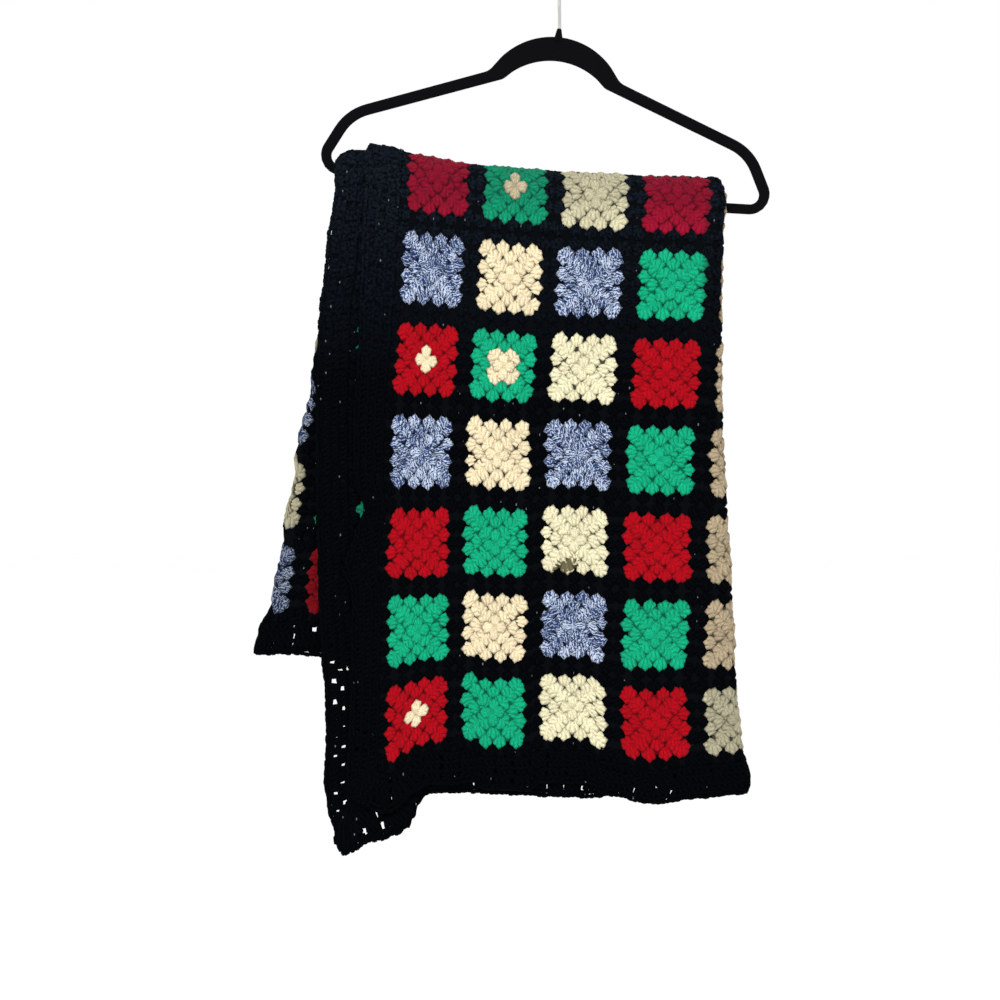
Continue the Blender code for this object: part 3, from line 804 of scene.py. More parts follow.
pieces = {}
for letter, name in YARNS.items():
    first, later = [], []
    for column, row in shown:
        for number in range(1, COLOUR_ROUNDS + 1):
            is_cream = number <= CREAM_MIDDLES.get((column, row), 0)
            if letter == ("C" if is_cream else yarn_of(column, row)):
                kind = first if number == 1 else later
                kind.append(square_at(column, row, round_places(number)))
    parts = [copies(FIRST_CLUSTER, np.concatenate(first)), copies(FULL_CLUSTER, np.concatenate(later))]
    pieces[letter] = object_of(name + "_squares", *together(parts))

# %% [markdown]
# Every square is then joined to the next by a round of black.

# %% Work the black round that joins them
join = [square_at(column, row, round_places(COLOUR_ROUNDS + 1)) for column, row in shown]
pieces["join"] = object_of("joining_rounds", *copies(PLAIN_CLUSTER, np.concatenate(join)))

# %% [markdown]
# ## The border
#
# Three rounds go all the way about the cloth. Here the clusters stand further apart, so a small
# hole shows beside each. Nothing lies behind the border's stitches but the next layer of cloth,
# so light comes through wherever the border hangs alone. At each corner the clusters fan out.

# %% Shape the border's clusters
BORDER_HEADS = (22.6, 14.2, 5.8)  # each round's heads, from the cloth's edge
BORDER_BESIDE = 18.3  # from one cluster to the next
BORDER_POSTS = (
    ((-4.7, 0.0, -0.4), (-5.7, 10.0, 0.2)),
    ((0.0, 0.0, -0.4), (0.0, 10.2, 0.2)),
    ((4.7, 0.0, -0.4), (5.7, 10.0, 0.2)),
)
BORDER_RINGS = ((0.0, 3.3, 1.9), (0.4, 3.4, 2.0), (0.85, 3.4, 1.9))
BORDER_LOOSE = 1.6  # its stitches are more uneven than those of the squares
BORDER_CLUSTER = build_cluster(BORDER_POSTS, 6, BORDER_RINGS)
BORDER_LONG = 10.0  # from its foot to its head
FROM_CORNER = (6.0, 6.0 + BORDER_BESIDE / 2, 6.0)  # so that the rounds lie like bricks too
HEM_WIDE = 1.04  # along the hems the clusters spread, and close most holes
CORNER_FAN = ((-0.7, 1.1), (-0.35, 1.3), (0.0, 1.5), (0.35, 1.3), (0.7, 1.1))  # turn and length
print("triangles in a border cluster:", len(BORDER_CLUSTER[1]))

# %% [markdown]
# The stitches are set evenly along the edge of the cloth as it hangs, not as it lies flat, because
# the drape draws some stretches out. So each side is measured along the hung cloth first. Down the
# free edges each cluster's flat width is changed to suit, so that all are alike once it hangs.

# %% Work the border
SIDE_STEPS = 1000  # to measure a side in


def sides_at(inset):
    """The four sides of a rectangle inside the cloth's edge: start, way, length and turn."""
    across_cloth, along_cloth = WIDTH - 2 * inset, LENGTH - 2 * inset
    return (
        ((inset, inset), (1.0, 0.0), across_cloth, math.pi),
        ((WIDTH - inset, inset), (0.0, 1.0), along_cloth, math.pi / 2),
        ((WIDTH - inset, LENGTH - inset), (-1.0, 0.0), across_cloth, 0.0),
        ((inset, LENGTH - inset), (0.0, -1.0), along_cloth, -math.pi / 2),
    )


def along_sides(inset, beside, first, last):
    """Places along the four sides, looking outwards, evenly apart in the cloth as it hangs."""
    found = []
    for start, way, length, turn in sides_at(inset):
        at = np.linspace(first, length - last, SIDE_STEPS)
        hung = place(start[0] + way[0] * at, start[1] + way[1] * at)
        reach = np.append(0.0, np.cumsum(np.linalg.norm(np.diff(hung, axis=0), axis=1)))
        spots = np.linspace(0.0, reach[-1], round(reach[-1] / beside) + 1)
        spots = np.interp(spots, reach, at)
        for spot, wide in zip(spots, np.gradient(spots) / beside):
            if way[0]:
                wide = HEM_WIDE
            found.append((start[0] + way[0] * spot, start[1] + way[1] * spot, turn, 1.0, wide, 0.0))
    return found


def border_places(head, from_corner):
    """One round of the border, with a fan of clusters at each corner."""
    foot = head + BORDER_LONG
    found = along_sides(foot, BORDER_BESIDE, from_corner, from_corner)
    for start, _, _, turn in sides_at(foot):
        found += [(*start, turn + math.pi / 4 + lean, length, 1.0, 0.0) for lean, length in CORNER_FAN]
    return np.array(found)


border = np.concatenate([border_places(*rounds) for rounds in zip(BORDER_HEADS, FROM_CORNER)])
pieces["border"] = object_of("border", *copies(BORDER_CLUSTER, border, BORDER_LOOSE))

# %% [markdown]
# Along the heads of each border round runs a line of chain loops. It closes the round's edge, and
# gives the cloth its firm outline. One loop is a single short post, laid along the edge.

# %% Lay the chain along each border round
CHAIN_STEP = 4.7  # mm from loop to loop
CHAIN_LONG = 6.6  # mm; each loop comes out of the last
CHAIN_HEADS = (31.0, *BORDER_HEADS, 2.2)  # where the joining rounds end, and last the edge
CHAIN_RINGS = ((0.0, 1.7, 1.5), (0.4, 2.6, 2.2), (0.8, 2.3, 1.9))
CHAIN_POST = ((0.0, 0.0, 0.3), (0.0, CHAIN_LONG, 0.3))
CHAIN_LOOP = build_cluster((CHAIN_POST,), 5, CHAIN_RINGS)


def chain_places(head):
    places = np.array(along_sides(head, CHAIN_STEP, 0.0, CHAIN_LONG))
    places[:, 2] -= math.pi / 2
    places[:, 4] = 1.0
    return places


chain = np.concatenate([chain_places(head) for head in CHAIN_HEADS])
pieces["chain"] = object_of("border_chain", *copies(CHAIN_LOOP, chain))

# %% [markdown]
# ## The ground of the cloth
#
# Behind the clusters runs a thin web of yarn, where the feet of one round wrap the spaces of the
# last. It is the sheet itself: one grid whose columns follow the folds, moved by the same drape.
# At the hems and the corners that hang free it stops inside the border, so that the border's
# holes stay open there. Further up it runs on under the border to the edge.

# %% Lay out the ground
GROUND_EDGE = 29.0  # mm from the cloth's two hems
GROUND_AT_A = ((60.0, GROUND_EDGE), (100.0, 4.0))  # along, then from A's free edge
GROUND_AT_B = ((122.0, GROUND_EDGE), (150.0, 4.0))
ACROSS_STEPS = (36, 8, 36, 6, 36, 6, 34)  # in A, F2, D, F1, C, F3 and B
FLAT_STEP = 11.0  # mm from row to row
CURVE_STEP = 3.5
CURVE_FROM, CURVE_TO = 532.0, 650.0  # the stretch that goes over the bar


def fold_stops(v):
    """Distances across the cloth of the ends of A, F2, D, F1, C, F3 and B."""
    f2, f1, f3 = (read(FOLD_LINES, column, v) for column in (1, 2, 3))
    bend = math.pi * PITCH_AT_BAR / 4
    from_a, from_b = (np.interp(v, *zip(*edge)) for edge in (GROUND_AT_A, GROUND_AT_B))
    folds = [f2 - 3 * bend, f2 + 3 * bend, f1 - bend, f1 + bend, f3 - bend, f3 + bend]
    return [from_a, *folds, WIDTH - from_b]


def ground_columns():
    """Which stretch each column of the grid is in, and how far along it."""
    found = [(n, step / steps) for n, steps in enumerate(ACROSS_STEPS) for step in range(steps)]
    return np.array(found + [(len(ACROSS_STEPS) - 1, 1.0)])


def ground_rows():
    """Distances along the cloth of the grid's rows, closer together over the bar."""
    stops = (GROUND_EDGE, CURVE_FROM, CURVE_TO, LENGTH - GROUND_EDGE)
    found = []
    for start, end, step in zip(stops, stops[1:], (FLAT_STEP, CURVE_STEP, FLAT_STEP)):
        found += list(np.linspace(start, end, round((end - start) / step) + 1)[:-1])
    return np.array(found + [stops[-1]])


columns, rows = ground_columns(), ground_rows()
print("the ground has", len(columns), "by", len(rows), "points")

# %% [markdown]
# The grid is made flat with unit sides, and each vertex is then moved to its place on the hung
# cloth. Its UV map keeps where it was in the flat cloth, in metres, for the colours.

# %% Hang the ground
bm = bmesh.new()
bmesh.ops.create_grid(bm, x_segments=len(columns) - 1, y_segments=len(rows) - 1, size=0.5)
grid = np.array([vert.co for vert in bm.verts])
column_at = np.round((grid[:, 0] + 0.5) * (len(columns) - 1)).astype(int)
ground_v = rows[np.round((grid[:, 1] + 0.5) * (len(rows) - 1)).astype(int)]
stops = np.stack(fold_stops(ground_v))
stretch, share = columns[column_at, 0].astype(int), columns[column_at, 1]
spot = np.arange(len(grid))
ground_u = mix(stops[stretch, spot], stops[stretch + 1, spot], share)
for vert, point in zip(bm.verts, place(ground_u, ground_v) * MM):
    vert.co = point
bmesh.ops.recalc_face_normals(bm, faces=bm.faces)
ground_mesh = bpy.data.meshes.new("ground")
bm.to_mesh(ground_mesh)
bm.free()
ground_mesh.shade_smooth()
flat = ground_mesh.uv_layers.new(name="flat")
corners = np.zeros(len(ground_mesh.loops), np.int32)
ground_mesh.loops.foreach_get("vertex_index", corners)
flat.data.foreach_set("uv", (np.stack((ground_u, ground_v), 1)[corners] * MM).astype(np.float32).ravel())
ground = bpy.data.objects.new("ground", ground_mesh)
scene.collection.objects.link(ground)
pieces["ground"] = ground
print("the ground has", len(ground_mesh.polygons), "faces")

# %% [markdown]
# The web is thin where stitches cover it. Between the layers no stitch is worked, because it
# would never be seen, and there the ground alone is as thick as the cloth is between its stitches.
# Solidify takes its thickness from a vertex group, so one modifier makes both.

# %% Thicken the ground
GROUND_THICK = 3.0  # mm
BEHIND_STITCHES = 0.1  # share of that thickness
bare = ground.vertex_groups.new(name="bare")
ground_column = np.clip((ground_u - BORDER) // SQUARE, 0, COLUMNS - 1).astype(int)
ground_row = np.clip((ground_v - BORDER) // SQUARE, 0, ROWS - 1).astype(int)
is_bare = [not shows(c, r) for c, r in zip(ground_column, ground_row)]
bare.add(np.nonzero(is_bare)[0].tolist(), 1.0, "REPLACE")
thick = ground.modifiers.new("Thickness", "SOLIDIFY")
thick.thickness = GROUND_THICK * MM
thick.offset = 0.0
thick.vertex_group = "bare"
thick.thickness_vertex_group = BEHIND_STITCHES
print("of its", len(grid), "points,", sum(is_bare), "have no stitches over them")

# %% [markdown]
# ## Yarn
#
# Wool yarn is a few plies of fibre twisted together. The twist is drawn from each point's place
# on its post: an angle round it and a distance along it. A picture of yarn would do for a flat
# cloth, but here every stitch points another way. Real plies of this yarn are about a millimetre
# across. Here they are drawn twice as wide, so that they show at this distance.

# %% Twist the plies
PLIES = 3
PLY_RELIEF = 0.22 * MM
SIDE_SHARE = 0.4  # how much light is left at the sides of a post
POST_SIDE, POST_FRONT = 0.2, 1.9  # mm from the middle of the post to where it is so, and to full light


def new_material(name):
    """A material, its node tree and its shader."""
    made = bpy.data.materials.new(name)
    made.use_nodes = True
    return made, made.node_tree, made.node_tree.nodes["Principled BSDF"]


def shaded(colour, share):
    """The same colour with less light on it."""
    return (*[part * share for part in colour[:3]], 1.0)


def ply_twist(tree, plies, lay, wander=0.0):
    """A wave from 0 to 1 that winds round the post as a ply does, and may wander."""
    spot = add_node(tree, "Attribute", {}, attribute_name="on_post").outputs["Vector"]
    axes = add_node(tree, "SeparateXYZ", {0: spot})
    round_post = add_node(tree, "Math", {0: axes.outputs[1], 1: axes.outputs[0]}, operation="ARCTAN2")
    along = {0: axes.outputs[2], 1: 2 * math.pi / lay, 2: wander}
    along = add_node(tree, "Math", along, operation="MULTIPLY_ADD")
    phase = {0: round_post, 1: float(plies), 2: along}
    phase = add_node(tree, "Math", phase, operation="MULTIPLY_ADD")
    wave = add_node(tree, "Math", {0: phase}, operation="SINE")
    return add_node(tree, "Math", {0: wave, 1: 0.5, 2: 0.5}, operation="MULTIPLY_ADD")


def object_axes(tree):
    """X, Y and Z of the shaded point, in metres."""
    return add_node(tree, "SeparateXYZ", {0: add_node(tree, "TexCoord", {}).outputs["Object"]}).outputs


def post_light(tree):
    """The share of light on a post: less on its sides, which lie against the next one."""
    spot = add_node(tree, "Attribute", {}, attribute_name="on_post").outputs["Vector"]
    depth = add_node(tree, "SeparateXYZ", {0: spot}).outputs[1]
    depth = add_node(tree, "Math", {0: depth}, operation="ABSOLUTE")
    return add_node(tree, "MapRange", {0: depth, 1: POST_SIDE, 2: POST_FRONT, 3: SIDE_SHARE, 4: 1.0})


print("a ply is", round(2 * math.pi * POST_RINGS[1][1] / PLIES, 1), "mm of the way round a post")

# %% [markdown]
# Each yarn is of one colour all through, but for the marl, where white and blue plies are spun
# together. Near the bar, past the front's free edge and at the right fold, painted shade darkens
# the wool, where the cloth turns from the light or lies in the shadow of the layer in front. On
# black wool near the bar a painted highlight shows pale.

# %% Choose the dyes, and the painted shade and light
DYES = {
    "R": "#a90516",
    "K": "#a20d2f",
    "G": "#10a578",
    "C": "#ebdab5",
    "I": "#e6dfba",
    "T": "#eed7b0",
    "B": "#2c406f",
}
MARL_WHITE = "#b5c1d4"
MARL_PLIES = 5
MARL_LAY = 26.0  # mm along the marl for one full turn of its white plies
MARL_BENDS = 260.0  # they bend every four millimetres
MARL_WANDER = 16.0  # radians
PAINTED_SHADE_COLOUR = "#0a0a10"  # the dark that painted shade mixes into the wool
BAR_SHADE_FROM, BAR_SHADE_TO = -0.275, -0.225  # m; painted shade rises up to the bar, where the cloth turns over it
BAR_SHADE_SHARE = 0.43
LEFT_FOLD_SHADE = (-0.180, -0.197)  # X, m; painted shadow past the front edge, and painted shade at the right fold
RIGHT_FOLD_SHADE = (0.136, 0.143)
FOLD_SHADE_SHARE = 0.52
BLACK_WOOL = "#030508"
PAINTED_LIGHT_ON_BLACK = "#181f29"
BLACK_LIGHT_FROM, BLACK_LIGHT_TO = -0.40, -0.20  # m; on black wool near the bar a painted highlight shows pale
BLACK_LIGHT_SHARE = 0.4
print("yarns:", ", ".join(f"{YARNS[letter]} {dye}" for letter, dye in DYES.items()))

# %% [markdown]
# Wool is matt. Its loose fibres catch the light at a grazing angle, which a little sheen gives, and
# its fluff makes the colour uneven from one millimetre to the next. Each cluster also has a shade
# of its own. Painted shade darkens a post at its sides, where it lies against the next one, and
# the yarn in the grooves between its plies.

# %% Spin the coloured wool
FIBRES = 750.0  # tufts of fluff in a metre, one every millimetre or so
FLUFF_RANGE = (0.35, 0.65)  # where most of the noise lies
SPECKLE = (0.8, 1.14)  # the lightness that fluff gives
LIGHTNESS = (0.92, 1.06)  # and that of a whole cluster
PLY_GROOVE_SHADE = 0.84  # painted shade of the yarn in the grooves between its plies
MARL_EDGE = (0.86, 1.14)  # where a white ply begins and where it is full
TWIST_IN_MARL, SHADE_IN_MARL = 0.6, 0.3  # how much each says about where the white is
FLUFF_RELIEF = 0.5  # share of the plies' relief
WOOL_ROUGH = 0.92


def wool(name, dye, marl=None):
    """Dyed double-knitting wool, plied about its post."""
    made, tree, shader = new_material(name)
    colour = hex_colour(dye)
    twist = ply_twist(tree, PLIES, LAY)
    place_on = add_node(tree, "TexCoord", {}).outputs["Object"]
    fluff = add_node(tree, "TexNoise", {"Vector": place_on, "Scale": FIBRES, "Detail": 2.0})
    shade = add_node(tree, "Attribute", {}, attribute_name="shade").outputs["Fac"]
    # Painted shade: the yarn is darker in the grooves between its plies.
    plied = {0: twist, 6: shaded(colour, PLY_GROOVE_SHADE), 7: colour}
    body = add_node(tree, "Mix", plied, data_type="RGBA").outputs[2]
    if marl:
        bends = add_node(tree, "TexNoise", {"Vector": place_on, "Scale": MARL_BENDS, "Detail": 1.0})
        wander = add_node(tree, "Math", {0: bends, 1: MARL_WANDER}, operation="MULTIPLY")
        patches = {0: shade, 1: SHADE_IN_MARL, 2: fluff.outputs[0]}
        patches = add_node(tree, "Math", patches, operation="MULTIPLY_ADD")
        strand = {0: ply_twist(tree, MARL_PLIES, MARL_LAY, wander), 1: TWIST_IN_MARL, 2: patches}
        strand = add_node(tree, "Math", strand, operation="MULTIPLY_ADD")
        white = add_node(tree, "MapRange", {0: strand, 1: MARL_EDGE[0], 2: MARL_EDGE[1]})
        marled = {0: white, 6: body, 7: hex_colour(marl)}
        body = add_node(tree, "Mix", marled, data_type="RGBA").outputs[2]
    speckle = {0: fluff, 1: FLUFF_RANGE[0], 2: FLUFF_RANGE[1], 3: SPECKLE[0], 4: SPECKLE[1]}
    speckle = add_node(tree, "MapRange", speckle)
    lightness = add_node(tree, "MapRange", {0: shade, 3: LIGHTNESS[0], 4: LIGHTNESS[1]})
    value = add_node(tree, "Math", {0: lightness, 1: speckle}, operation="MULTIPLY")
    # Painted shade: a post is darker at its sides.
    value = add_node(tree, "Math", {0: value, 1: post_light(tree)}, operation="MULTIPLY")
    body = add_node(tree, "HueSaturation", {"Value": value, "Color": body})
    # Painted shade: near the bar and at the two folds the colour is mixed towards near-black.
    x, _, height = object_axes(tree)
    at_bar = add_node(tree, "MapRange", {0: height, 1: BAR_SHADE_FROM, 2: BAR_SHADE_TO, 4: BAR_SHADE_SHARE})
    left = add_node(tree, "MapRange", {0: x, 1: LEFT_FOLD_SHADE[0], 2: LEFT_FOLD_SHADE[1], 4: FOLD_SHADE_SHARE})
    right = add_node(tree, "MapRange", {0: x, 1: RIGHT_FOLD_SHADE[0], 2: RIGHT_FOLD_SHADE[1], 4: FOLD_SHADE_SHARE})
    shade_at_folds = add_node(tree, "Math", {0: left, 1: right}, operation="MAXIMUM")
    shade_share = add_node(tree, "Math", {0: at_bar, 1: shade_at_folds}, operation="MAXIMUM")
    in_shade = {0: shade_share, 6: body, 7: hex_colour(PAINTED_SHADE_COLOUR)}
    body = add_node(tree, "Mix", in_shade, data_type="RGBA").outputs[2]
    relief = add_node(tree, "Math", {0: fluff, 1: FLUFF_RELIEF, 2: twist}, operation="MULTIPLY_ADD")
    bump = add_node(tree, "Bump", {"Distance": PLY_RELIEF, "Strength": 0.9, "Height": relief})
    tree.links.new(body, shader.inputs["Base Color"])
    tree.links.new(bump.outputs[0], shader.inputs["Normal"])
    shader.inputs["Roughness"].default_value = WOOL_ROUGH
    shader.inputs["Specular IOR Level"].default_value = 0.06
    shader.inputs["Sheen Weight"].default_value = 0.03
    shader.inputs["Sheen Roughness"].default_value = 0.5
    return made


for letter, dye in DYES.items():
    marl = MARL_WHITE if letter == "B" else None
    pieces[letter].data.materials.append(wool(YARNS[letter].replace("_", " ") + " wool", dye, marl))
print("dyed", len(DYES), "yarns")

# %% [markdown]
# One ivory square has an old brown stain, some two centimetres long. A stain has a ragged edge and
# misses some of the wool, so noise is added to the distance from its middle before it is cut off.

# %% Stain one square
STAIN_AT = (0.0040, 0.0, -0.585)  # m
STAIN_SIZE = (0.0122, 1.0, 0.0060)  # half its length and height in m, and right through the wool
STAIN_TILT = math.radians(-25)  # it has run up to the right
STAIN_RAGGED = 3.0  # how much the noise says beside the distance
STAIN_PATCHES = 350.0  # in a metre, one every three millimetres
STAIN_FADE = (0.15, -0.1)  # from outside its edge to inside it
STAIN_SHARE = 0.9
STAIN = "#4a4228"


def stain(made):
    """Darken the wool's colour about one spot."""
    tree = made.node_tree
    shader = tree.nodes["Principled BSDF"]
    clean = shader.inputs["Base Color"].links[0].from_socket
    place_on = add_node(tree, "TexCoord", {}).outputs["Object"]
    turned = {"Location": STAIN_AT, "Rotation": (0.0, STAIN_TILT, 0.0), "Scale": STAIN_SIZE}
    inside = add_node(tree, "Mapping", {"Vector": place_on, **turned}, vector_type="TEXTURE")
    away = add_node(tree, "VectorMath", {0: inside}, operation="LENGTH").outputs["Value"]
    ragged = add_node(tree, "TexNoise", {"Vector": place_on, "Scale": STAIN_PATCHES, "Detail": 3.0})
    reach = add_node(tree, "Math", {0: ragged, 1: STAIN_RAGGED, 2: away}, operation="MULTIPLY_ADD")
    edge = 1.0 + STAIN_RAGGED / 2
    soaked = {0: reach, 1: edge + STAIN_FADE[0], 2: edge + STAIN_FADE[1], 4: STAIN_SHARE}
    soaked = add_node(tree, "MapRange", soaked)
    body = add_node(tree, "Mix", {0: soaked, 6: clean, 7: hex_colour(STAIN)}, data_type="RGBA")
    tree.links.new(body.outputs[2], shader.inputs["Base Color"])


stain(pieces["I"].data.materials[0])
print("stained the", pieces["I"].data.materials[0].name, "at", STAIN_AT)

# %% [markdown]
# The joining yarn is a blue-black wool. It picks up pale shreds of lint, which are drawn as short
# upright dashes, one every few centimetres. Lint could be small pieces of its own, but a shred is
# as thin as a hair, so colour is enough. Near the bar a painted highlight lightens it in patches.

# %% Spin the black wool
BLACK_PLY_SHADING = (0.4, 1.2)  # painted shade between the plies, and painted light on them
LIGHT_PATCH_RANGE = (0.38, 0.62)  # where most of the noise lies
LIGHT_PATCHES = (0.2, 1.8)  # and how much painted light that gives
LINT_APART = 10.0  # mm
LINT_SIZE = 0.65  # mm
LINT_LONG = 2.2  # how much longer than wide
LINT = "#62626a"


def black_wool():
    made, tree, shader = new_material("blue-black wool")
    colour = hex_colour(BLACK_WOOL)
    twist = ply_twist(tree, PLIES, LAY)
    # Painted shade between the plies, and painted light on them.
    body = {0: twist, 6: shaded(colour, BLACK_PLY_SHADING[0]), 7: shaded(colour, BLACK_PLY_SHADING[1])}
    yarn = add_node(tree, "Mix", body, data_type="RGBA").outputs[2]
    place_on = add_node(tree, "TexCoord", {}).outputs["Object"]
    # Painted light: near the bar the black wool is lightened in patches.
    painted_light = {0: object_axes(tree)[2], 1: BLACK_LIGHT_FROM, 2: BLACK_LIGHT_TO, 4: BLACK_LIGHT_SHARE}
    painted_light = add_node(tree, "MapRange", painted_light)
    tufts = add_node(tree, "TexNoise", {"Vector": place_on, "Scale": FIBRES / 2, "Detail": 3.0})
    lit_patches = {0: tufts, 1: LIGHT_PATCH_RANGE[0], 2: LIGHT_PATCH_RANGE[1], 3: LIGHT_PATCHES[0], 4: LIGHT_PATCHES[1]}
    lit_patches = add_node(tree, "MapRange", lit_patches)
    painted_light = add_node(tree, "Math", {0: painted_light, 1: lit_patches}, operation="MULTIPLY")
    lit = {0: painted_light, 6: yarn, 7: hex_colour(PAINTED_LIGHT_ON_BLACK)}
    yarn = add_node(tree, "Mix", lit, data_type="RGBA").outputs[2]
    drawn_out = {0: place_on, 1: (1.0, 1.0, 1.0 / LINT_LONG)}
    drawn_out = add_node(tree, "VectorMath", drawn_out, operation="MULTIPLY")
    cells = {"Vector": drawn_out, "Scale": 1000.0 / LINT_APART, "Randomness": 1.0}
    away = add_node(tree, "TexVoronoi", cells).outputs["Distance"]
    is_lint = add_node(tree, "Math", {0: away, 1: LINT_SIZE / LINT_APART}, operation="LESS_THAN")
    with_lint = {0: is_lint, 6: yarn, 7: hex_colour(LINT)}
    body = add_node(tree, "Mix", with_lint, data_type="RGBA").outputs[2]
    bump = add_node(tree, "Bump", {"Distance": PLY_RELIEF, "Height": twist})
    tree.links.new(body, shader.inputs["Base Color"])
    tree.links.new(bump.outputs[0], shader.inputs["Normal"])
    shader.inputs["Roughness"].default_value = WOOL_ROUGH
    shader.inputs["Specular IOR Level"].default_value = 0.02
    return made


black = black_wool()
for key in ("join", "border", "chain"):
    pieces[key].data.materials.append(black)
print(black.name, "has", len(black.node_tree.nodes), "nodes")

# %% [markdown]
# The ground takes its colours from its own flat place: which column and which row of squares a
# point is in, and how far it is from the middle of its square. Two colour ramps with hard steps
# hold the even and the odd rows, and the squares that break the rule are put right one by one.

# %% Find the square and its colour
INSIDE = 0.325  # half the coloured part of a square, as a share of the square
GROUND_SHADE = {"R": 0.3, "K": 0.3, "G": 0.25, "B": 0.15}  # painted shade of the web, seen deep between the stitches
PALE_SHADE = 0.06  # and through pale yarn, painted shade of the dark behind it


# Painted shade: the web's colour is its yarn's dye with less light on it.
def shaded_web_colour(letter):
    return shaded(hex_colour(DYES[letter]), GROUND_SHADE.get(letter, PALE_SHADE))


def row_ramp(tree, chart, factor):
    """The web's colour under each square of one row, in painted shade."""
    ramp = add_node(tree, "ValToRGB", {"Fac": factor})
    ramp.color_ramp.interpolation = "CONSTANT"
    stops = ramp.color_ramp.elements
    stops.remove(stops[1])
    stops[0].color = shaded_web_colour(chart[0])
    for spot, letter in enumerate(chart[1:], 1):
        stops.new(spot / len(chart)).color = shaded_web_colour(letter)
    return ramp.outputs["Color"]


def in_cell(tree, distance, count):
    """How many squares along a distance is, that square's number, and if the coloured part is there."""
    start = add_node(tree, "Math", {0: distance, 1: BORDER * MM}, operation="SUBTRACT")
    cells = add_node(tree, "Math", {0: start, 1: SQUARE * MM}, operation="DIVIDE")
    number = add_node(tree, "Math", {0: cells}, operation="FLOOR")
    part = add_node(tree, "Math", {0: cells}, operation="FRACT")
    inside = add_node(tree, "Math", {0: part, 1: 0.5, 2: INSIDE}, operation="COMPARE")
    in_border = add_node(tree, "Math", {0: cells, 1: count / 2, 2: count / 2}, operation="COMPARE")
    return cells, number, add_node(tree, "Math", {0: inside, 1: in_border}, operation="MULTIPLY")


print("behind red stitches the web is", [round(part, 4) for part in shaded_web_colour("R")[:3]])

# %% [markdown]
# The ground's material puts these together. Its surface is the small loops of the rounds, a loop
# to a round, in low relief.

# %% Colour the ground
LOOP_RELIEF = 1.0 * MM


def ground_wool():
    made, tree, shader = new_material("ground of all the yarns")
    flat_at = add_node(tree, "UVMap", {}, uv_map="flat").outputs[0]
    axes = add_node(tree, "SeparateXYZ", {0: flat_at})
    along_row, column, inside_column = in_cell(tree, axes.outputs[0], COLUMNS)
    _, row, inside_row = in_cell(tree, axes.outputs[1], ROWS)
    factor = add_node(tree, "Math", {0: along_row, 1: float(COLUMNS)}, operation="DIVIDE")
    odd = add_node(tree, "Math", {0: row, 1: 2.0}, operation="MODULO")
    rows_mixed = {0: odd, 6: row_ramp(tree, EVEN_ROWS, factor), 7: row_ramp(tree, ODD_ROWS, factor)}
    dye = add_node(tree, "Mix", rows_mixed, data_type="RGBA").outputs[2]
    square = add_node(tree, "Math", {0: row, 1: float(COLUMNS), 2: column}, operation="MULTIPLY_ADD")
    for (other_column, other_row), letter in OTHER_SQUARES.items():
        number = float(other_row * COLUMNS + other_column)
        is_it = add_node(tree, "Math", {0: square, 1: number, 2: 0.5}, operation="COMPARE")
        other = {0: is_it, 6: dye, 7: shaded_web_colour(letter)}
        dye = add_node(tree, "Mix", other, data_type="RGBA").outputs[2]
    inside = add_node(tree, "Math", {0: inside_column, 1: inside_row}, operation="MULTIPLY")
    body = add_node(tree, "Mix", {0: inside, 6: hex_colour(BLACK_WOOL), 7: dye}, data_type="RGBA")
    loops = {"Vector": flat_at, "Scale": 1000.0 / ROUND}
    loops = add_node(tree, "TexVoronoi", loops).outputs["Distance"]
    bump = add_node(tree, "Bump", {"Distance": LOOP_RELIEF, "Height": loops}, invert=True)
    tree.links.new(body.outputs[2], shader.inputs["Base Color"])
    tree.links.new(bump.outputs[0], shader.inputs["Normal"])
    shader.inputs["Roughness"].default_value = WOOL_ROUGH
    shader.inputs["Specular IOR Level"].default_value = 0.05
    return made


ground_mesh.materials.append(ground_wool())
print("put right", len(OTHER_SQUARES), "squares that break the rule")

# %% [markdown]
# ## The hanger
#
# A slim hanger moulded in ABS and covered in flock: short nylon fibres stood on end in glue. It
# takes in nearly all the light, and shows a soft sheen where it turns away. Fibres could be grown
# on it as hair, but a fibre of flock is far thinner than a millimetre and would not show. The
# solids have the right shapes already, so they stay, with their own finish.

# %% Flock the hanger
FLOCK_APART = 0.9  # mm; real flock is finer than this, and would not show
FLOCK_RELIEF = 0.2 * MM
FLOCK_DARK, FLOCK_LIGHT = "#030304", "#0c0c0f"


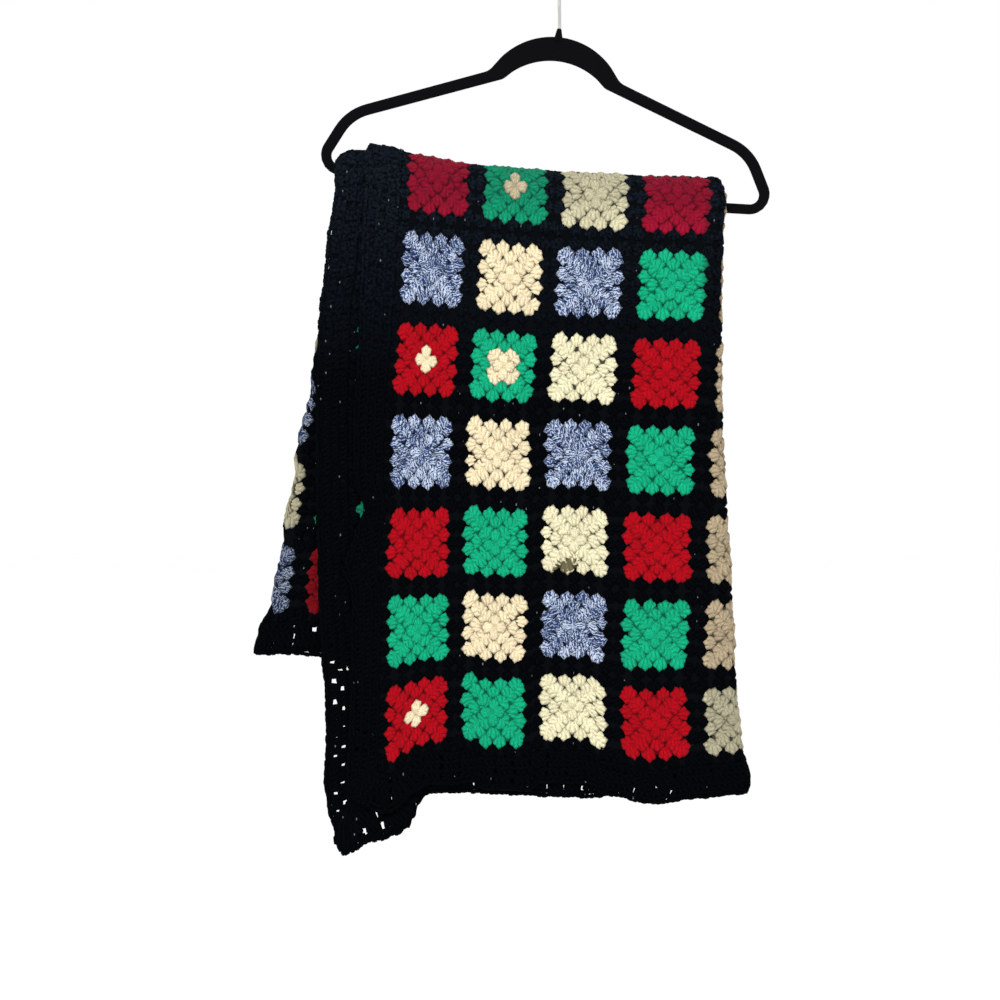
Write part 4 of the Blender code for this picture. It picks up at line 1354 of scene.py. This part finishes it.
def flock():
    made, tree, shader = new_material("black nylon flock")
    place_on = add_node(tree, "TexCoord", {}).outputs["Object"]
    tufts = add_node(tree, "TexNoise", {"Vector": place_on, "Scale": 1000.0 / FLOCK_APART})
    shades = {0: tufts, 6: hex_colour(FLOCK_DARK), 7: hex_colour(FLOCK_LIGHT)}
    body = add_node(tree, "Mix", shades, data_type="RGBA")
    bump = add_node(tree, "Bump", {"Distance": FLOCK_RELIEF, "Height": tufts})
    tree.links.new(body.outputs[2], shader.inputs["Base Color"])
    tree.links.new(bump.outputs[0], shader.inputs["Normal"])
    shader.inputs["Roughness"].default_value = 1.0
    shader.inputs["Specular IOR Level"].default_value = 0.05
    shader.inputs["Sheen Weight"].default_value = 0.02
    return made


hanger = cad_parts["hanger_body"]
hanger.data.materials.clear()
hanger.data.materials.append(flock())
print(hanger.name, "is", hanger.data.materials[0].name)

# %% [markdown]
# The hook is steel wire, bent cold and plated with nickel. The plate is smooth and mirrors the
# tent, and only fine wear makes its shine a little uneven, so noise drives the roughness.

# %% Plate the hook
WEAR_APART = 2.5  # mm
WEAR_ROUGH = (0.16, 0.3)


def plated_steel():
    made, tree, shader = new_material("nickel-plated steel wire")
    place_on = add_node(tree, "TexCoord", {}).outputs["Object"]
    wear = add_node(tree, "TexNoise", {"Vector": place_on, "Scale": 1000.0 / WEAR_APART})
    rough = add_node(tree, "MapRange", {0: wear, 3: WEAR_ROUGH[0], 4: WEAR_ROUGH[1]})
    tree.links.new(rough.outputs[0], shader.inputs["Roughness"])
    shader.inputs["Base Color"].default_value = hex_colour("#c9c7c2")
    shader.inputs["Metallic"].default_value = 1.0
    return made


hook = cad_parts["hanger_hook"]
hook.data.materials.clear()
hook.data.materials.append(plated_steel())
print(hook.name, "is", hook.data.materials[0].name)

# %% [markdown]
# ## Joining the pieces to the model
#
# Nothing here moves by itself, so every piece rides the root. The ground stands in for the solid
# blanket, which is hidden.

# %% Join the pieces to the model
for piece in pieces.values():
    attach(piece, "root")
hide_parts("blanket")
print(len(pieces), "pieces ride the root")
